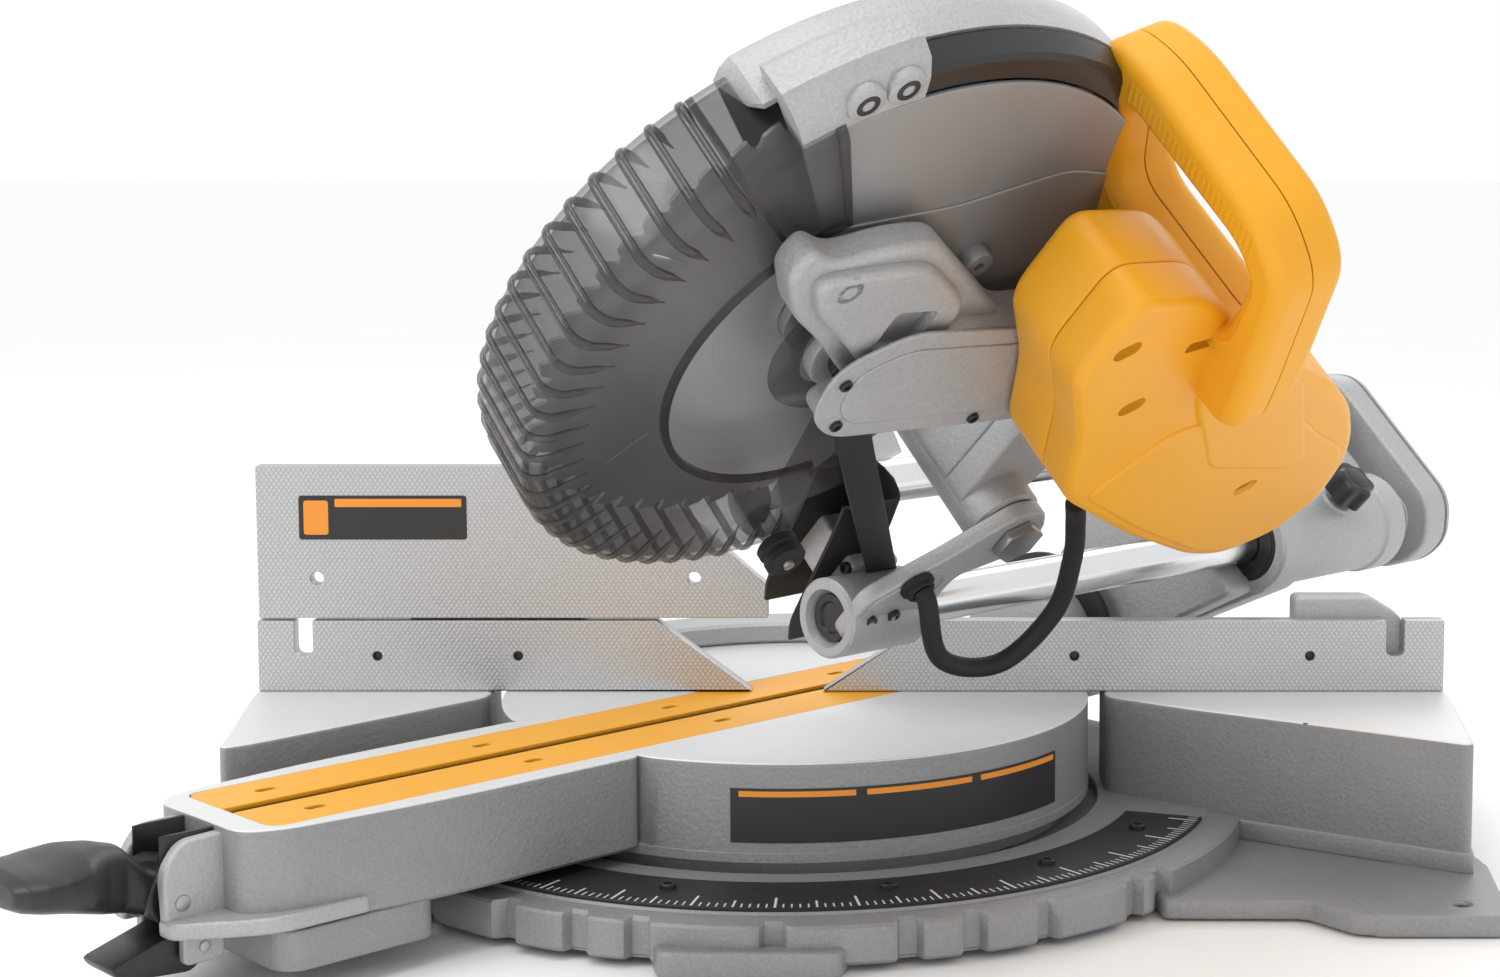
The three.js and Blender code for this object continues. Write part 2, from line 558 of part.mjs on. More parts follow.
// The loop's outline is drawn as (z, x) across the handle's own Y axis.
const loop = outline([[-30, -60], [-30, 74], [8, 76], [92, 76], [112, 50], [116, -40], [104, -72],
  [20, -76]], 22);
const eye = outline([[26, -42], [26, 50], [76, 54], [84, 40], [84, -40], [74, -48]], 16);
const housingRoom = pulled("x", outline(motorShape, 12), -20, 300)
  .translate(-HANDLE.x, -HANDLE.y, -HANDLE.z)
  .rotateX(-THREE.MathUtils.degToRad(HANDLE.lean));
const guardRoom = rod("x", ...ARBOR, 178.5, -60, 56.9, 40)
  .translate(-HANDLE.x, -HANDLE.y, -HANDLE.z)
  .rotateX(-THREE.MathUtils.degToRad(HANDLE.lean));
const handleHalf = (y0, y1) => cut(
  pulled("y", loop, y0, y1),
  pulled("y", eye, -40, 40),
  box(-36, 36, -7, 7, 70, 96),
  housingRoom,
  guardRoom,
);
piece("handle_front_shell", handleFrame, yellow, handleHalf(-19, -0.15));
piece("handle_rear_shell", handleFrame, yellow, handleHalf(0.15, 19));
piece("trigger", handleFrame, black, pulled("y", outline([[74, -34], [72, 0], [74, 34], [90, 34],
  [90, -34]], 3), -6.5, 6.5));

piece("depth_stop_screw", head, steel, join(
  rod("y", STOP_Z, -38, 4, -78, -44, 12),
  rod("y", STOP_Z, -38, 7, -78, -72, 6),
));
piece("spindle_lock_button", head, yellow, rod("z", 42, -110, 6, 408, 418, 12));

// ---------- blade, arbor and drive ----------
const spindle = new THREE.Group();
head.add(spindle);
const inArbor = (profileRods) => profileRods.map(([r, a, b, sides = 24]) => rod("x", ...ARBOR, r, a, b, sides));
piece("arbor_shaft", spindle, steel, join(...inArbor([[12.4, -7.7, 46], [28, 1.3, 7, 20], [15, 7, 14]])));
piece("saw_blade", spindle, bladeSteel, cut(
  rod("x", ...ARBOR, BLADE_R, -1, 1, 40),
  rod("x", ...ARBOR, 12.7, -3, 3, 18),
));
piece("outer_flange", spindle, steel, cut(
  join(...inArbor([[28, -7, -1.3, 20]])),
  ...inArbor([[12.7, -9, 0]]),
));
piece("arbor_screw", spindle, darkSteel, join(...inArbor([[10, -20, -14, 6], [16, -14, -8]])));
piece("arbor_bearing", head, darkSteel, tube("x", ...ARBOR, 18, 12.7, 29, 35.7, 18));
piece("spindle_pulley", spindle, steel, cut(
  join(...inArbor([[20, 38, 50]])),
  ...inArbor([[12.7, 37, 46.3], [5, 46, 52, 12]]),
));
piece("motor_rotor", head, copper, join(
  rod("x", ...MOTOR, 32, 64, 104, 18),
  rod("x", ...MOTOR, 8, 30, 110, 16),
  rod("x", ...MOTOR, 14, 38, 50, 18),
));
const beltLoop = (grow) => {
  const ends = [[ARBOR, 20.3 + grow], [MOTOR, 14.3 + grow]];
  return join(
    ...ends.map(([c, r]) => rod("x", ...c, r, 40, 48, 20)),
    pulled("x", [
      [ARBOR[0], ARBOR[1] - ends[0][1]], [MOTOR[0], MOTOR[1] - ends[1][1]],
      [MOTOR[0], MOTOR[1] + ends[1][1]], [ARBOR[0], ARBOR[1] + ends[0][1]],
    ], 40, 48),
  );
};
piece("drive_belt", head, rubber, cut(beltLoop(2), beltLoop(0)));

// ---------- lower guard: turns about the arbor outside the steel plate ----------
const guard = new THREE.Group();
head.add(guard);
const GUARD_FROM = 125;
const GUARD_TO = 290;
piece("lower_guard", guard, smoke, join(
  sector(ARBOR, 97, 166, GUARD_FROM, GUARD_TO, 24, 27, 20),
  sector(ARBOR, 97, 166, GUARD_FROM, GUARD_TO, -28, -25, 20),
  sector(ARBOR, 163, 168, GUARD_FROM, GUARD_TO, -28, 27, 20),
  sector(ARBOR, 33, 130, 280, 316, 24, 27, 8),
  cut(rod("x", ...ARBOR, 46, 24, 27, 20), rod("x", ...ARBOR, 30, 20, 30, 18)),
  rod("x", ARBOR[0] + 46, ARBOR[1] - 155, 3, 26, 44, 12),
));
piece("guard_roller", guard, rubber, tube("x", ARBOR[0] + 46, ARBOR[1] - 155, 11, 3.1, 27.4, 42, 20));
piece("guard_link", carriage, black,
  pulled("x", outline([[-38, 126], [-26, 138], [-190, 334], [-204, 320]], 4), 27.3, 28.7));

// ---------- power cable between the carriage and the motor ----------
const cableRoute = new THREE.CatmullRomCurve3([
  [57, -76, 196], [68, -76, 196], [90, -62, 170], [103, -30, 176], [100, -14, 214],
  [90, -20, 250], [84, -34, 276], [82, -44, 290],
].map((p) => new THREE.Vector3(...p)));
const cableSection = new THREE.Shape().absarc(0, 0, 5.5, 0, Math.PI * 2);
piece("power_cable", carriage, rubber, new THREE.ExtrudeGeometry(cableSection, {
  extrudePath: cableRoute,
  steps: 18,
  curveSegments: 4,
}));
export default saw;
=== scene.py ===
"""Sliding miter saw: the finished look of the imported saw, built as an add-on that is run as a script."""

import json
import math

import bpy
import numpy as np
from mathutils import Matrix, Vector
from mathutils.geometry import tessellate_polygon


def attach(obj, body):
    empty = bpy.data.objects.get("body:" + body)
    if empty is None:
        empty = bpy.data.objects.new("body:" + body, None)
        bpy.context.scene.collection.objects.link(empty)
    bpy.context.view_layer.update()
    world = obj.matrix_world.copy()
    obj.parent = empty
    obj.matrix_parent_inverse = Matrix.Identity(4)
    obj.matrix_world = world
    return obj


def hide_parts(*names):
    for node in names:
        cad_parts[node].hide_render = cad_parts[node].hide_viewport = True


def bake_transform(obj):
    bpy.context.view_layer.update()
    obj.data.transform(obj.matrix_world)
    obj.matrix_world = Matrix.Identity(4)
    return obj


bl_info = {
    "name": "Sliding Miter Saw",
    "version": (1, 0, 0),
    "blender": (4, 5, 0),
    "location": "View3D > Sidebar > Miter Saw",
    "description": "Builds the finished surfaces of a sliding miter saw round its packed frame",
    "category": "Object",
}

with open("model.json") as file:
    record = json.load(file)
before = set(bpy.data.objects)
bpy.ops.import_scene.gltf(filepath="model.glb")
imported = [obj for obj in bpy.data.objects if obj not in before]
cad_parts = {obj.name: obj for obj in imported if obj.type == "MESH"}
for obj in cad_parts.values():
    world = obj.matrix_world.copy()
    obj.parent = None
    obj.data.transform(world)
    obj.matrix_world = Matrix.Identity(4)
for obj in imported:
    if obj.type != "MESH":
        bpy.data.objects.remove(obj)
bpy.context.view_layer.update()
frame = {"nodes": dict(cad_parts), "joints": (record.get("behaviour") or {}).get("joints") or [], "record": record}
JOINT = {joint["name"]: joint for joint in frame["joints"]}
NODES = frame["nodes"]
BODY_OF = {node: body for body, nodes in frame["record"]["behaviour"]["bodies"].items() for node in nodes}
SLOT_OF = {part["node"]: part["material_slot"] for part in frame["record"]["subparts"]}
MM = 0.001


# ---------- spaces: where millimetre drawings lie in the frame ----------
class Space:
    """Right, back and up directions with an origin, taken from the frame's joints."""

    def __init__(self, right, back, origin_m):
        right = np.array(right, float) / np.linalg.norm(right)
        back = np.array(back, float) / np.linalg.norm(back)
        self.axes = np.array([right, back, np.cross(right, back)])
        self.origin = np.array(origin_m, float)

    def world(self, points):
        """Metres in the frame of points in millimetres here: origin plus coordinates times directions."""
        return self.origin + (np.asarray(points, float) * MM) @ self.axes

    def local(self, point_m):
        """Millimetres here of a point in the frame."""
        return (self.axes @ (np.array(point_m, float) - self.origin)) / MM


BENCH = Space((1, 0, 0), (0, 1, 0), (0, 0, 0))
MITER = Space(JOINT["miter_lever_lift"]["axis"], JOINT["lock_rod_slide"]["axis"], (0, 0, 0))
HEAD = Space(JOINT["chop"]["axis"], JOINT["rail_slide"]["axis"], JOINT["bevel_tilt"]["pos_m"])
GRIP_UP = np.array(JOINT["trigger_squeeze"]["axis"], float)
GRIP_BACK = np.cross(GRIP_UP, JOINT["chop"]["axis"])
GRIP = Space(JOINT["chop"]["axis"], GRIP_BACK, HEAD.world((68.5, -90, 452)))

TABLE = JOINT["bevel_tilt"]["pos_m"][2] / MM
ARBOR = HEAD.local(JOINT["spindle_spin"]["pos_m"])[1:]
PIVOT = HEAD.local(JOINT["chop"]["pos_m"])[1:]
MOTOR = HEAD.local(JOINT["rotor_spin"]["pos_m"])[1:]
BLADE_R = 152.4
DISC_R = 178
RING_R = 271
RAIL_X = 42
RAIL_Z = 152
RAIL_R = 13


# ---------- shapes: every one is (points, faces) in millimetres ----------
def rounded(corners, radius, steps=5):
    """Closed outline whose corners are quadratic arcs: (1-t)^2 enter + 2t(1-t) corner + t^2 leave."""
    c = np.array(corners, float)
    back = np.roll(c, 1, 0) - c
    ahead = np.roll(c, -1, 0) - c
    reach_back = np.linalg.norm(back, axis=1, keepdims=True)
    reach_ahead = np.linalg.norm(ahead, axis=1, keepdims=True)
    r = np.broadcast_to(np.reshape(radius, (-1, 1)), (len(c), 1))
    r = np.minimum(r, 0.45 * np.minimum(reach_back, reach_ahead))
    enter = (c + back / reach_back * r)[:, None]
    leave = (c + ahead / reach_ahead * r)[:, None]
    t = np.linspace(0, 1, steps + 1)[None, :, None]
    curve = (1 - t) ** 2 * enter + 2 * t * (1 - t) * c[:, None] + t**2 * leave
    points = curve.reshape(-1, 2)
    apart = np.linalg.norm(points - np.roll(points, 1, 0), axis=1) > 1e-3
    return points[apart]


def circle(centre, radius, sides=48, start=0.0):
    """Points at equal angles: centre plus radius times (cos, sin)."""
    a = start + np.arange(sides) * 2 * np.pi / sides
    return np.array(centre, float) + radius * np.column_stack([np.cos(a), np.sin(a)])


def oval(centre, length, width, turn=0.0, steps=8):
    """Slot outline: two half circles joined by straights, turned by an angle in degrees."""
    a = np.linspace(-np.pi / 2, np.pi / 2, steps + 1)
    half = np.column_stack([(length - width) / 2 + width / 2 * np.cos(a), width / 2 * np.sin(a)])
    points = np.vstack([half, -half])
    s, c = math.sin(math.radians(turn)), math.cos(math.radians(turn))
    return np.array(centre, float) + points @ np.array([[c, s], [-s, c]])


def area(loop):
    x, y = loop[:, 0], loop[:, 1]
    return 0.5 * np.sum(x * np.roll(y, -1) - y * np.roll(x, -1))


def outward(loop):
    """Unit vectors out of the material: the mean direction of the two edges, turned a quarter."""
    ahead = np.roll(loop, -1, 0) - loop
    ahead = ahead / np.maximum(np.linalg.norm(ahead, axis=1, keepdims=True), 1e-9)
    along = ahead + np.roll(ahead, 1, 0)
    along = along / np.maximum(np.linalg.norm(along, axis=1, keepdims=True), 1e-9)
    return np.column_stack([along[:, 1], -along[:, 0]])


LIE = {"x": (2, 0, 1), "y": (1, 2, 0), "z": (0, 1, 2)}


def slab(axis, outlines, low, high, edge=1.0, steps=3, low_edge=None, hole_edge=1.0):
    """Plate between two heights with rounded edges and holes.

    The wall is a stack of rings: each is the outline moved in by edge*(1-sin a) at height edge*(1-cos a)
    from the face, and the faces are filled between the outlines. Holes are eased by hole_edge at most.
    Outlines are (y, z) across x, (x, z) across y and (x, y) across z; the first is the outside.
    """
    loops = [np.array(o, float) for o in (outlines if isinstance(outlines, list) else [outlines])]
    if axis == "y":
        loops = [o[:, ::-1] for o in loops]
    loops = [o if (area(o) > 0) == (i == 0) else o[::-1] for i, o in enumerate(loops)]
    low_edge = edge if low_edge is None else low_edge
    a = np.linspace(0, np.pi / 2, steps + 1)
    insets = np.concatenate([[low_edge + 0.25], low_edge * (1 - np.sin(a)), edge * (1 - np.sin(a[::-1])),
                             [edge + 0.25]])
    heights = np.concatenate([[low], low + low_edge * (1 - np.cos(a)), high - edge * (1 - np.cos(a[::-1])),
                              [high]])
    count = sum(len(o) for o in loops)
    rings = []
    for inset, height in zip(insets, heights):
        eased = [inset] + [min(inset, hole_edge)] * (len(loops) - 1)
        flat = np.vstack([o - outward(o) * e for o, e in zip(loops, eased)])
        rings.append(np.column_stack([flat, np.full(count, height)]))
    points = np.vstack(rings)
    faces = []
    start = 0
    for loop in loops:
        i = np.arange(len(loop)) + start
        j = np.roll(i, -1)
        for k in range(len(rings) - 1):
            a0, b0, a1, b1 = i + k * count, j + k * count, i + (k + 1) * count, j + (k + 1) * count
            faces += np.column_stack([a0, b0, b1, a1]).tolist()
        start += len(loop)
    bounds = np.cumsum([0] + [len(o) for o in loops])
    for ring, upward in ((0, False), (len(rings) - 1, True)):
        flat = rings[ring][:, :2]
        cap = tessellate_polygon([[Vector((x, y, 0)) for x, y in flat[s:e]] for s,
                                  e in zip(bounds, bounds[1:])])
        for tri in cap:
            p, q, r = (flat[i] for i in tri)
            up = (q[0] - p[0]) * (r[1] - p[1]) - (q[1] - p[1]) * (r[0] - p[0]) > 0
            corners = [i + ring * count for i in (tri if up == upward else tri[::-1])]
            faces.append(corners)
    return points[:, LIE[axis]], faces


def tube(rings, closed=False):
    """Skin over rings of points, an array (ring, point, 3), closed by flat ends or joined end to end."""
    rings = np.asarray(rings, float)
    n, m = rings.shape[:2]
    u = np.arange(n if closed else n - 1)
    i, j = np.meshgrid(u, np.arange(m), indexing="ij")
    i2, j2 = (i + 1) % n, (j + 1) % m
    faces = np.stack([i * m + j, i * m + j2, i2 * m + j2, i2 * m + j], -1).reshape(-1, 4).tolist()
    if not closed:
        faces.append(list(range(m))[::-1])
        faces.append([(n - 1) * m + k for k in range(m)])
    points = rings.reshape(-1, 3)
    centre = points.mean(0)
    quad = np.array([f for f in faces if len(f) == 4])
    p, q, r = points[quad[:, 0]], points[quad[:, 1]], points[quad[:, 3]]
    volume = np.einsum("ij,ij->i", p - centre, np.cross(q - p, r - p)).sum()
    return points, (faces if volume > 0 else [f[::-1] for f in faces])


def turned(axis, centre, profile, sides=48):
    """Surface of revolution: the closed profile (radius, height) carried round the axis through centre."""
    profile = np.array(profile, float)
    a = np.arange(sides) * 2 * np.pi / sides
    p = centre[0] + profile[None, :, 0] * np.cos(a)[:, None]
    q = centre[1] + profile[None, :, 0] * np.sin(a)[:, None]
    h = np.broadcast_to(profile[None, :, 1], p.shape)
    order = {"x": (h, p, q), "y": (p, h, q), "z": (p, q, h)}[axis]
    return tube(np.stack(order, -1), closed=True)


def round_bar(axis, centre, radius, low, high, edge=0.8, sides=32, bore=0.0):
    """Bar or bush with eased ends; a bar without a bore keeps a pinhole 0.02 mm wide on its axis."""
    inner = max(bore, 0.01)
    e = min(edge, (high - low) / 2.5, radius / 2)
    profile = [(inner, low), (radius - e, low), (radius - 0.3 * e, low + 0.3 * e), (radius, low + e),
               (radius, high - e), (radius - 0.3 * e, high - 0.3 * e), (radius - e, high), (inner, high)]
    return turned(axis, centre, profile, sides)


def ringed(section, angles, centre=None, lift=None):
    """Section (x, radius) carried round the arbor between angles in degrees counted from back to up.

    A lift array (angle, point) is added to the radius.
    """
    centre = ARBOR if centre is None else centre
    section = np.array(section, float)
    a = np.radians(np.asarray(angles, float))[:, None]
    r = section[None, :, 1] + (0 if lift is None else lift)
    x = np.broadcast_to(section[None, :, 0], r.shape if r.shape[0] > 1 else (len(a), len(section)))
    r = np.broadcast_to(r, x.shape)
    return tube(np.stack([x, centre[0] + r * np.cos(a), centre[1] + r * np.sin(a)], -1))


def along(path, section, normal, closed=False, scale=None):
    """Section carried along a path: each ring is path + side*(tangent x normal) + height*normal."""
    path = np.array(path, float)
    section = np.array(section, float)
    if closed:
        tangent = np.roll(path, -1, 0) - np.roll(path, 1, 0)
    else:
        tangent = np.gradient(path, axis=0)
    tangent /= np.linalg.norm(tangent, axis=1, keepdims=True)
    n = np.broadcast_to(np.array(normal, float), path.shape)
    side = np.cross(tangent, n)
    side /= np.linalg.norm(side, axis=1, keepdims=True)
    n = np.cross(side, tangent)
    grow = np.ones(len(path)) if scale is None else np.asarray(scale, float)
    rings = path[:, None] + grow[:, None, None] * (
        section[None, :, :1] * side[:, None] + section[None, :, 1:] * n[:, None])
    return tube(rings, closed)


def smooth_path(points, count):
    """Catmull-Rom curve through the points: each span is the cubic blend of its four neighbours."""
    p = np.array(points, float)
    p = np.vstack([2 * p[0] - p[1], p, 2 * p[-1] - p[-2]])
    s = np.linspace(0, len(points) - 1 - 1e-9, count)
    i = s.astype(int)
    t = (s - i)[:, None]
    a, b, c, d = p[i], p[i + 1], p[i + 2], p[i + 3]
    return 0.5 * (2 * b + (c - a) * t + (2 * a - 5 * b + 4 * c - d) * t**2 + (3 * b - a - 3 * c + d) * t**3)


def socket_screw(axis, at, radius, face, out=1, height=2.5):
    """Cap screw: a turned head with a hexagon socket drawn as a turned hollow, standing out of a face."""
    r = radius
    profile = [(0.02, 0.6), (0.52 * r, 0.6), (0.55 * r, height), (0.85 * r, height), (r, height * 0.75),
               (r, -1), (0.02, -1)]
    points, faces = turned(axis, at, [(a, face + out * h) for a, h in profile], 18)
    return points, faces


def make(name, space, parts, material, body, replaces=(), sharp=32, bend=None):
    """Joins shapes into one mesh piece in metres, shades it, and lets it ride on its body.

    With bend, two points in the space, the piece is fixed where it stands instead and rides on no body; the two
    points are not used.
    """
    points, faces, start = [], [], 0
    for p, f in parts:
        points.append(space.world(p))
        faces += [[i + start for i in face] for face in f]
        start += len(p)
    mesh = bpy.data.meshes.new(name)
    mesh.from_pydata(np.vstack(points).tolist(), [], faces)
    mesh.validate()
    mesh.shade_smooth()
    mesh.set_sharp_from_angle(angle=math.radians(sharp))
    piece = bpy.data.objects.new(name, mesh)
    bpy.context.scene.collection.objects.link(piece)
    mesh.materials.append(FINISHES[material])
    if bend:
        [tuple(point) for point in space.world(bend)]
        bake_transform(piece)
    else:
        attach(piece, body)
    if replaces:
        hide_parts(*replaces)
    return piece


def soften(piece, width):
    """Live bevel on the sharp edges, in millimetres."""
    modifier = piece.modifiers.new("eased edges", "BEVEL")
    modifier.width = width * MM
    modifier.segments = 2
    modifier.limit_method = "ANGLE"
    modifier.angle_limit = math.radians(35)
    modifier.harden_normals = False


# ---------- finishes ----------
class Value:
    """A shader socket in an expression: each operator adds one Math node."""

    def __init__(self, finish, socket):
        self.finish = finish
        self.socket = socket

    def math(self, operation, *others):
        return self.finish.node("ShaderNodeMath", {"operation": operation}, dict(enumerate((self,) + others)))

    def __add__(self, other):
        return self.math("ADD", other)

    __radd__ = __add__

    def __sub__(self, other):
        return self.math("SUBTRACT", other)

    def __rsub__(self, other):
        return self.finish.node("ShaderNodeMath", {"operation": "SUBTRACT"}, {0: other, 1: self})

    def __mul__(self, other):
        return self.math("MULTIPLY", other)

    __rmul__ = __mul__

    def __truediv__(self, other):
        return self.math("DIVIDE", other)

    def __gt__(self, other):
        return self.math("GREATER_THAN", other)

    def __lt__(self, other):
        return self.math("LESS_THAN", other)


class Finish:
    """One procedural material on a Principled shader, built from expressions."""

    def __init__(self, name, **constants):
        self.material = bpy.data.materials.new(name)
        self.material.use_nodes = True
        self.tree = self.material.node_tree
        self.shader = self.tree.nodes["Principled BSDF"]
        for socket, value in constants.items():
            self.shader.inputs[socket.replace("_", " ")].default_value = value
        coordinates = self.node("ShaderNodeTexCoord", {}, {}, "Object")
        self.position = coordinates

    def node(self, kind, settings, inputs, out=0):
        """Adds a node: its settings first, then the values or links of its sockets."""
        made = self.tree.nodes.new(kind)
        for key, value in settings.items():
            if key == "stops":
                ramp = made.color_ramp.elements
                while len(ramp) < len(value):
                    ramp.new(0.5)
                for element, (place, color) in zip(ramp, value):
                    element.position = place
                    element.color = color
            else:
                setattr(made, key, value)
        for key, value in inputs.items():
            if isinstance(value, Value):
                self.tree.links.new(value.socket, made.inputs[key])
            else:
                made.inputs[key].default_value = value
        return Value(self, made.outputs[out])

    def noise(self, scale, detail=2.0, roughness=0.5, stretch=None):
        vector = self.position
        if stretch is not None:
            vector = self.node("ShaderNodeMapping", {}, {"Vector": vector, "Scale": stretch})
        return self.node("ShaderNodeTexNoise", {}, {"Vector": vector, "Scale": scale, "Detail": detail,
                                                    "Roughness": roughness})

    def cells(self, scale, feature="F1"):
        return self.node("ShaderNodeTexVoronoi", {"feature": feature},
                         {"Vector": self.position, "Scale": scale}, "Distance")

    def distance(self, direction, origin_m):
        """Metres along a direction from an origin: the dot product of the offset and the direction."""
        offset = self.node("ShaderNodeVectorMath", {"operation": "SUBTRACT"},
                           {0: self.position, 1: tuple(float(v) for v in origin_m)})
        return self.node("ShaderNodeVectorMath", {"operation": "DOT_PRODUCT"},
                         {0: offset, 1: tuple(float(v) for v in direction)}, "Value")

    def mix(self, amount, first, second):
        """Colour between two colours."""
        return self.node("ShaderNodeMix", {"data_type": "RGBA"}, {"Factor": amount, 6: first, 7: second}, 2)

    def band(self, value, low, high):
        """1 between two values and 0 outside."""
        return (value > low) * (value < high)

    def color(self, value):
        self.tree.links.new(value.socket, self.shader.inputs["Base Color"])

    def set(self, socket, value):
        self.tree.links.new(value.socket, self.shader.inputs[socket])

    def bump(self, height, distance, strength=1.0):
        normal = self.node("ShaderNodeBump", {}, {"Height": height, "Distance": distance,
                                                  "Strength": strength})
        self.tree.links.new(normal.socket, self.shader.inputs["Normal"])
        return self.material


def shade(color, factor):
    return tuple(min(1.0, c * factor) for c in color[:3]) + (1.0,)


def cast_finish(name, color, metallic=0.4, top=None):
    """Die-cast and lightly painted: sandy grain under 1 mm, soft blotches and darker pits.

    Where a top colour is given, everything at the table's height is milled bright; the base and turntable pass a
    top colour lifted above the fences' milled metal, a painted highlight.
    """
    f = Finish(name, Metallic=metallic, Specular_IOR_Level=0.5)
    grain = f.noise(620, 3, 0.75)
    pits = f.cells(380)
    cloud = f.noise(14, 4, 0.6)
    tone = 0.75 * grain + 0.35 * cloud - 0.05
    painted = f.mix(tone.math("MINIMUM", 1.0).math("MAXIMUM", 0.0), shade(color, 0.62), shade(color, 1.36))
    if top is None:
        f.color(painted)
        f.set("Roughness", 0.38 + 0.24 * grain)
        return f.bump(grain * 0.8 + pits * 0.5, 0.0006, 0.6)
    # Tops at the table's height: real milled metal, made brighter by the given top colour as a painted highlight.
    milled = f.distance((0, 0, 1), (0, 0, TABLE * MM - 0.0009)) > 0
    sweep = f.noise(160, 2, 0.5, (1, 12, 1))
    f.color(f.mix(milled, painted, f.mix(sweep * 0.6 + grain * 0.3, shade(top, 0.86), shade(top, 1.12))))
    f.set("Roughness", 0.36 + 0.2 * grain)
    return f.bump((grain * 0.8 + pits * 0.5) * (1 - milled * 0.85), 0.0006, 0.6)


def machined_finish(name, color, knurled=False):
    """Milled aluminium: fine cutter lines along the fence; the knurl is two crossed triangle waves."""
    f = Finish(name, Metallic=0.6)
    lines = f.noise(60, 2, 0.5, (2, 30, 30))
    fine = f.noise(1500, 2)
    f.set("Roughness", 0.3 + 0.16 * lines)
    if not knurled:
        f.color(f.mix(lines * 0.7 + fine * 0.3, shade(color, 0.86), shade(color, 1.1)))
        return f.bump(lines, 0.0002, 0.4)
    x = f.distance((1, 0, 0), (0, 0, 0))
    z = f.distance((0, 0, 1), (0, 0, 0))
    y = f.distance((0, 1, 0), (0, 0, 0))
    pitch = 0.0015
    up = (x + z * 0.7).math("PINGPONG", pitch) / pitch
    down = (x - z * 0.7).math("PINGPONG", pitch) / pitch
    diamond = up.math("MINIMUM", down) * f.band(y, -0.002, 0.0008)
    # The knurl's grooves are painted darker and its crests lighter along its relief: painted shade and highlight.
    f.color(f.mix(diamond * 0.8 + lines * 0.2, shade(color, 0.74), shade(color, 1.3)))
    return f.bump(diamond * 0.6 + lines * 0.12, 0.0007, 0.5)


def steel_finish(name, color, roughness=0.32, metallic=0.9):
    f = Finish(name, Metallic=metallic)
    streak = f.noise(90, 3, 0.6, (20, 20, 1))
    smear = f.noise(16, 3)
    f.color(f.mix(streak * 0.5 + smear * 0.5, shade(color, 0.82), shade(color, 1.12)))
    f.set("Roughness", roughness - 0.06 + 0.14 * smear)
    return f.bump(streak, 0.0002, 0.25)


def blade_finish(name, color):
    """Ground disc: fine and broad rings of equal radius about the arbor."""
    f = Finish(name, Metallic=0.6)
    origin = JOINT["spindle_spin"]["pos_m"]
    a = f.distance(HEAD.axes[1], origin)
    b = f.distance(HEAD.axes[2], origin)
    radius = (a * a + b * b).math("SQRT")
    rings = f.node("ShaderNodeTexNoise", {"noise_dimensions": "1D"}, {"W": radius, "Scale": 900, "Detail": 4})
    broad = f.node("ShaderNodeTexNoise", {"noise_dimensions": "1D"}, {"W": radius, "Scale": 60, "Detail": 2})
    f.color(f.mix(rings * 0.6 + broad * 0.4, shade(color, 0.8), shade(color, 1.12)))
    f.set("Roughness", 0.34 + 0.14 * broad)
    return f.bump(rings, 0.00015, 0.4)


def plastic_finish(name, color, roughness, grain=1100, depth=0.00012, grip=False):
    """Moulded plastic with a fine spark-eroded grain; the grip has rows of small raised dots."""
    f = Finish(name, Specular_IOR_Level=0.5)
    fine = f.noise(grain, 2, 0.6)
    cloud = f.noise(11, 3)
    wear = f.noise(70, 5, 0.7)
    f.color(f.mix(cloud * 0.7 + wear * 0.3, shade(color, 0.93), shade(color, 1.05)))
    f.set("Roughness", roughness - 0.05 + 0.1 * wear + 0.04 * fine)
    if not grip:
        return f.bump(fine, depth, 0.6)
    x = f.distance(GRIP.axes[0], GRIP.origin)
    z = f.distance(GRIP.axes[2], GRIP.origin)
    y = f.distance(GRIP.axes[1], GRIP.origin)
    pitch = 0.0019
    dots = (x + y).math("PINGPONG", pitch).math("MINIMUM", (x - y).math("PINGPONG", pitch)) / pitch
    bar = f.band(z, 0.080, 0.1015) * f.band(x, -0.046, 0.052) * (y.math("ABSOLUTE") > 0.0035)
    return f.bump(fine * 0.12 + dots * bar, 0.0006, 0.6)


def rubber_finish(name, color):
    f = Finish(name, Specular_IOR_Level=0.35)
    fine = f.noise(700, 4, 0.7)
    dust = f.noise(25, 4)
    f.color(f.mix(dust, shade(color, 0.8), shade(color, 1.5)))
    f.set("Roughness", 0.55 + 0.2 * fine)
    return f.bump(fine, 0.0002, 0.5)


def smoke_finish(name, color, clear):
    """Smoked polycarbonate: nearly clear face on and darker at a glancing angle, with faint scuffs."""
    f = Finish(name, Specular_IOR_Level=0.7, Coat_Roughness=0.05)
    facing = f.node("ShaderNodeLayerWeight", {}, {"Blend": 0.35}, "Facing")
    scuffs = f.noise(55, 5, 0.65, (1, 1, 4))
    f.color(f.mix(scuffs, shade(color, 0.7), shade(color, 1.4)))
    f.set("Roughness", 0.06 + 0.14 * scuffs)
    f.set("Alpha", (clear + facing * 0.5 + scuffs * 0.06).math("MINIMUM", 0.97))
    return f.material


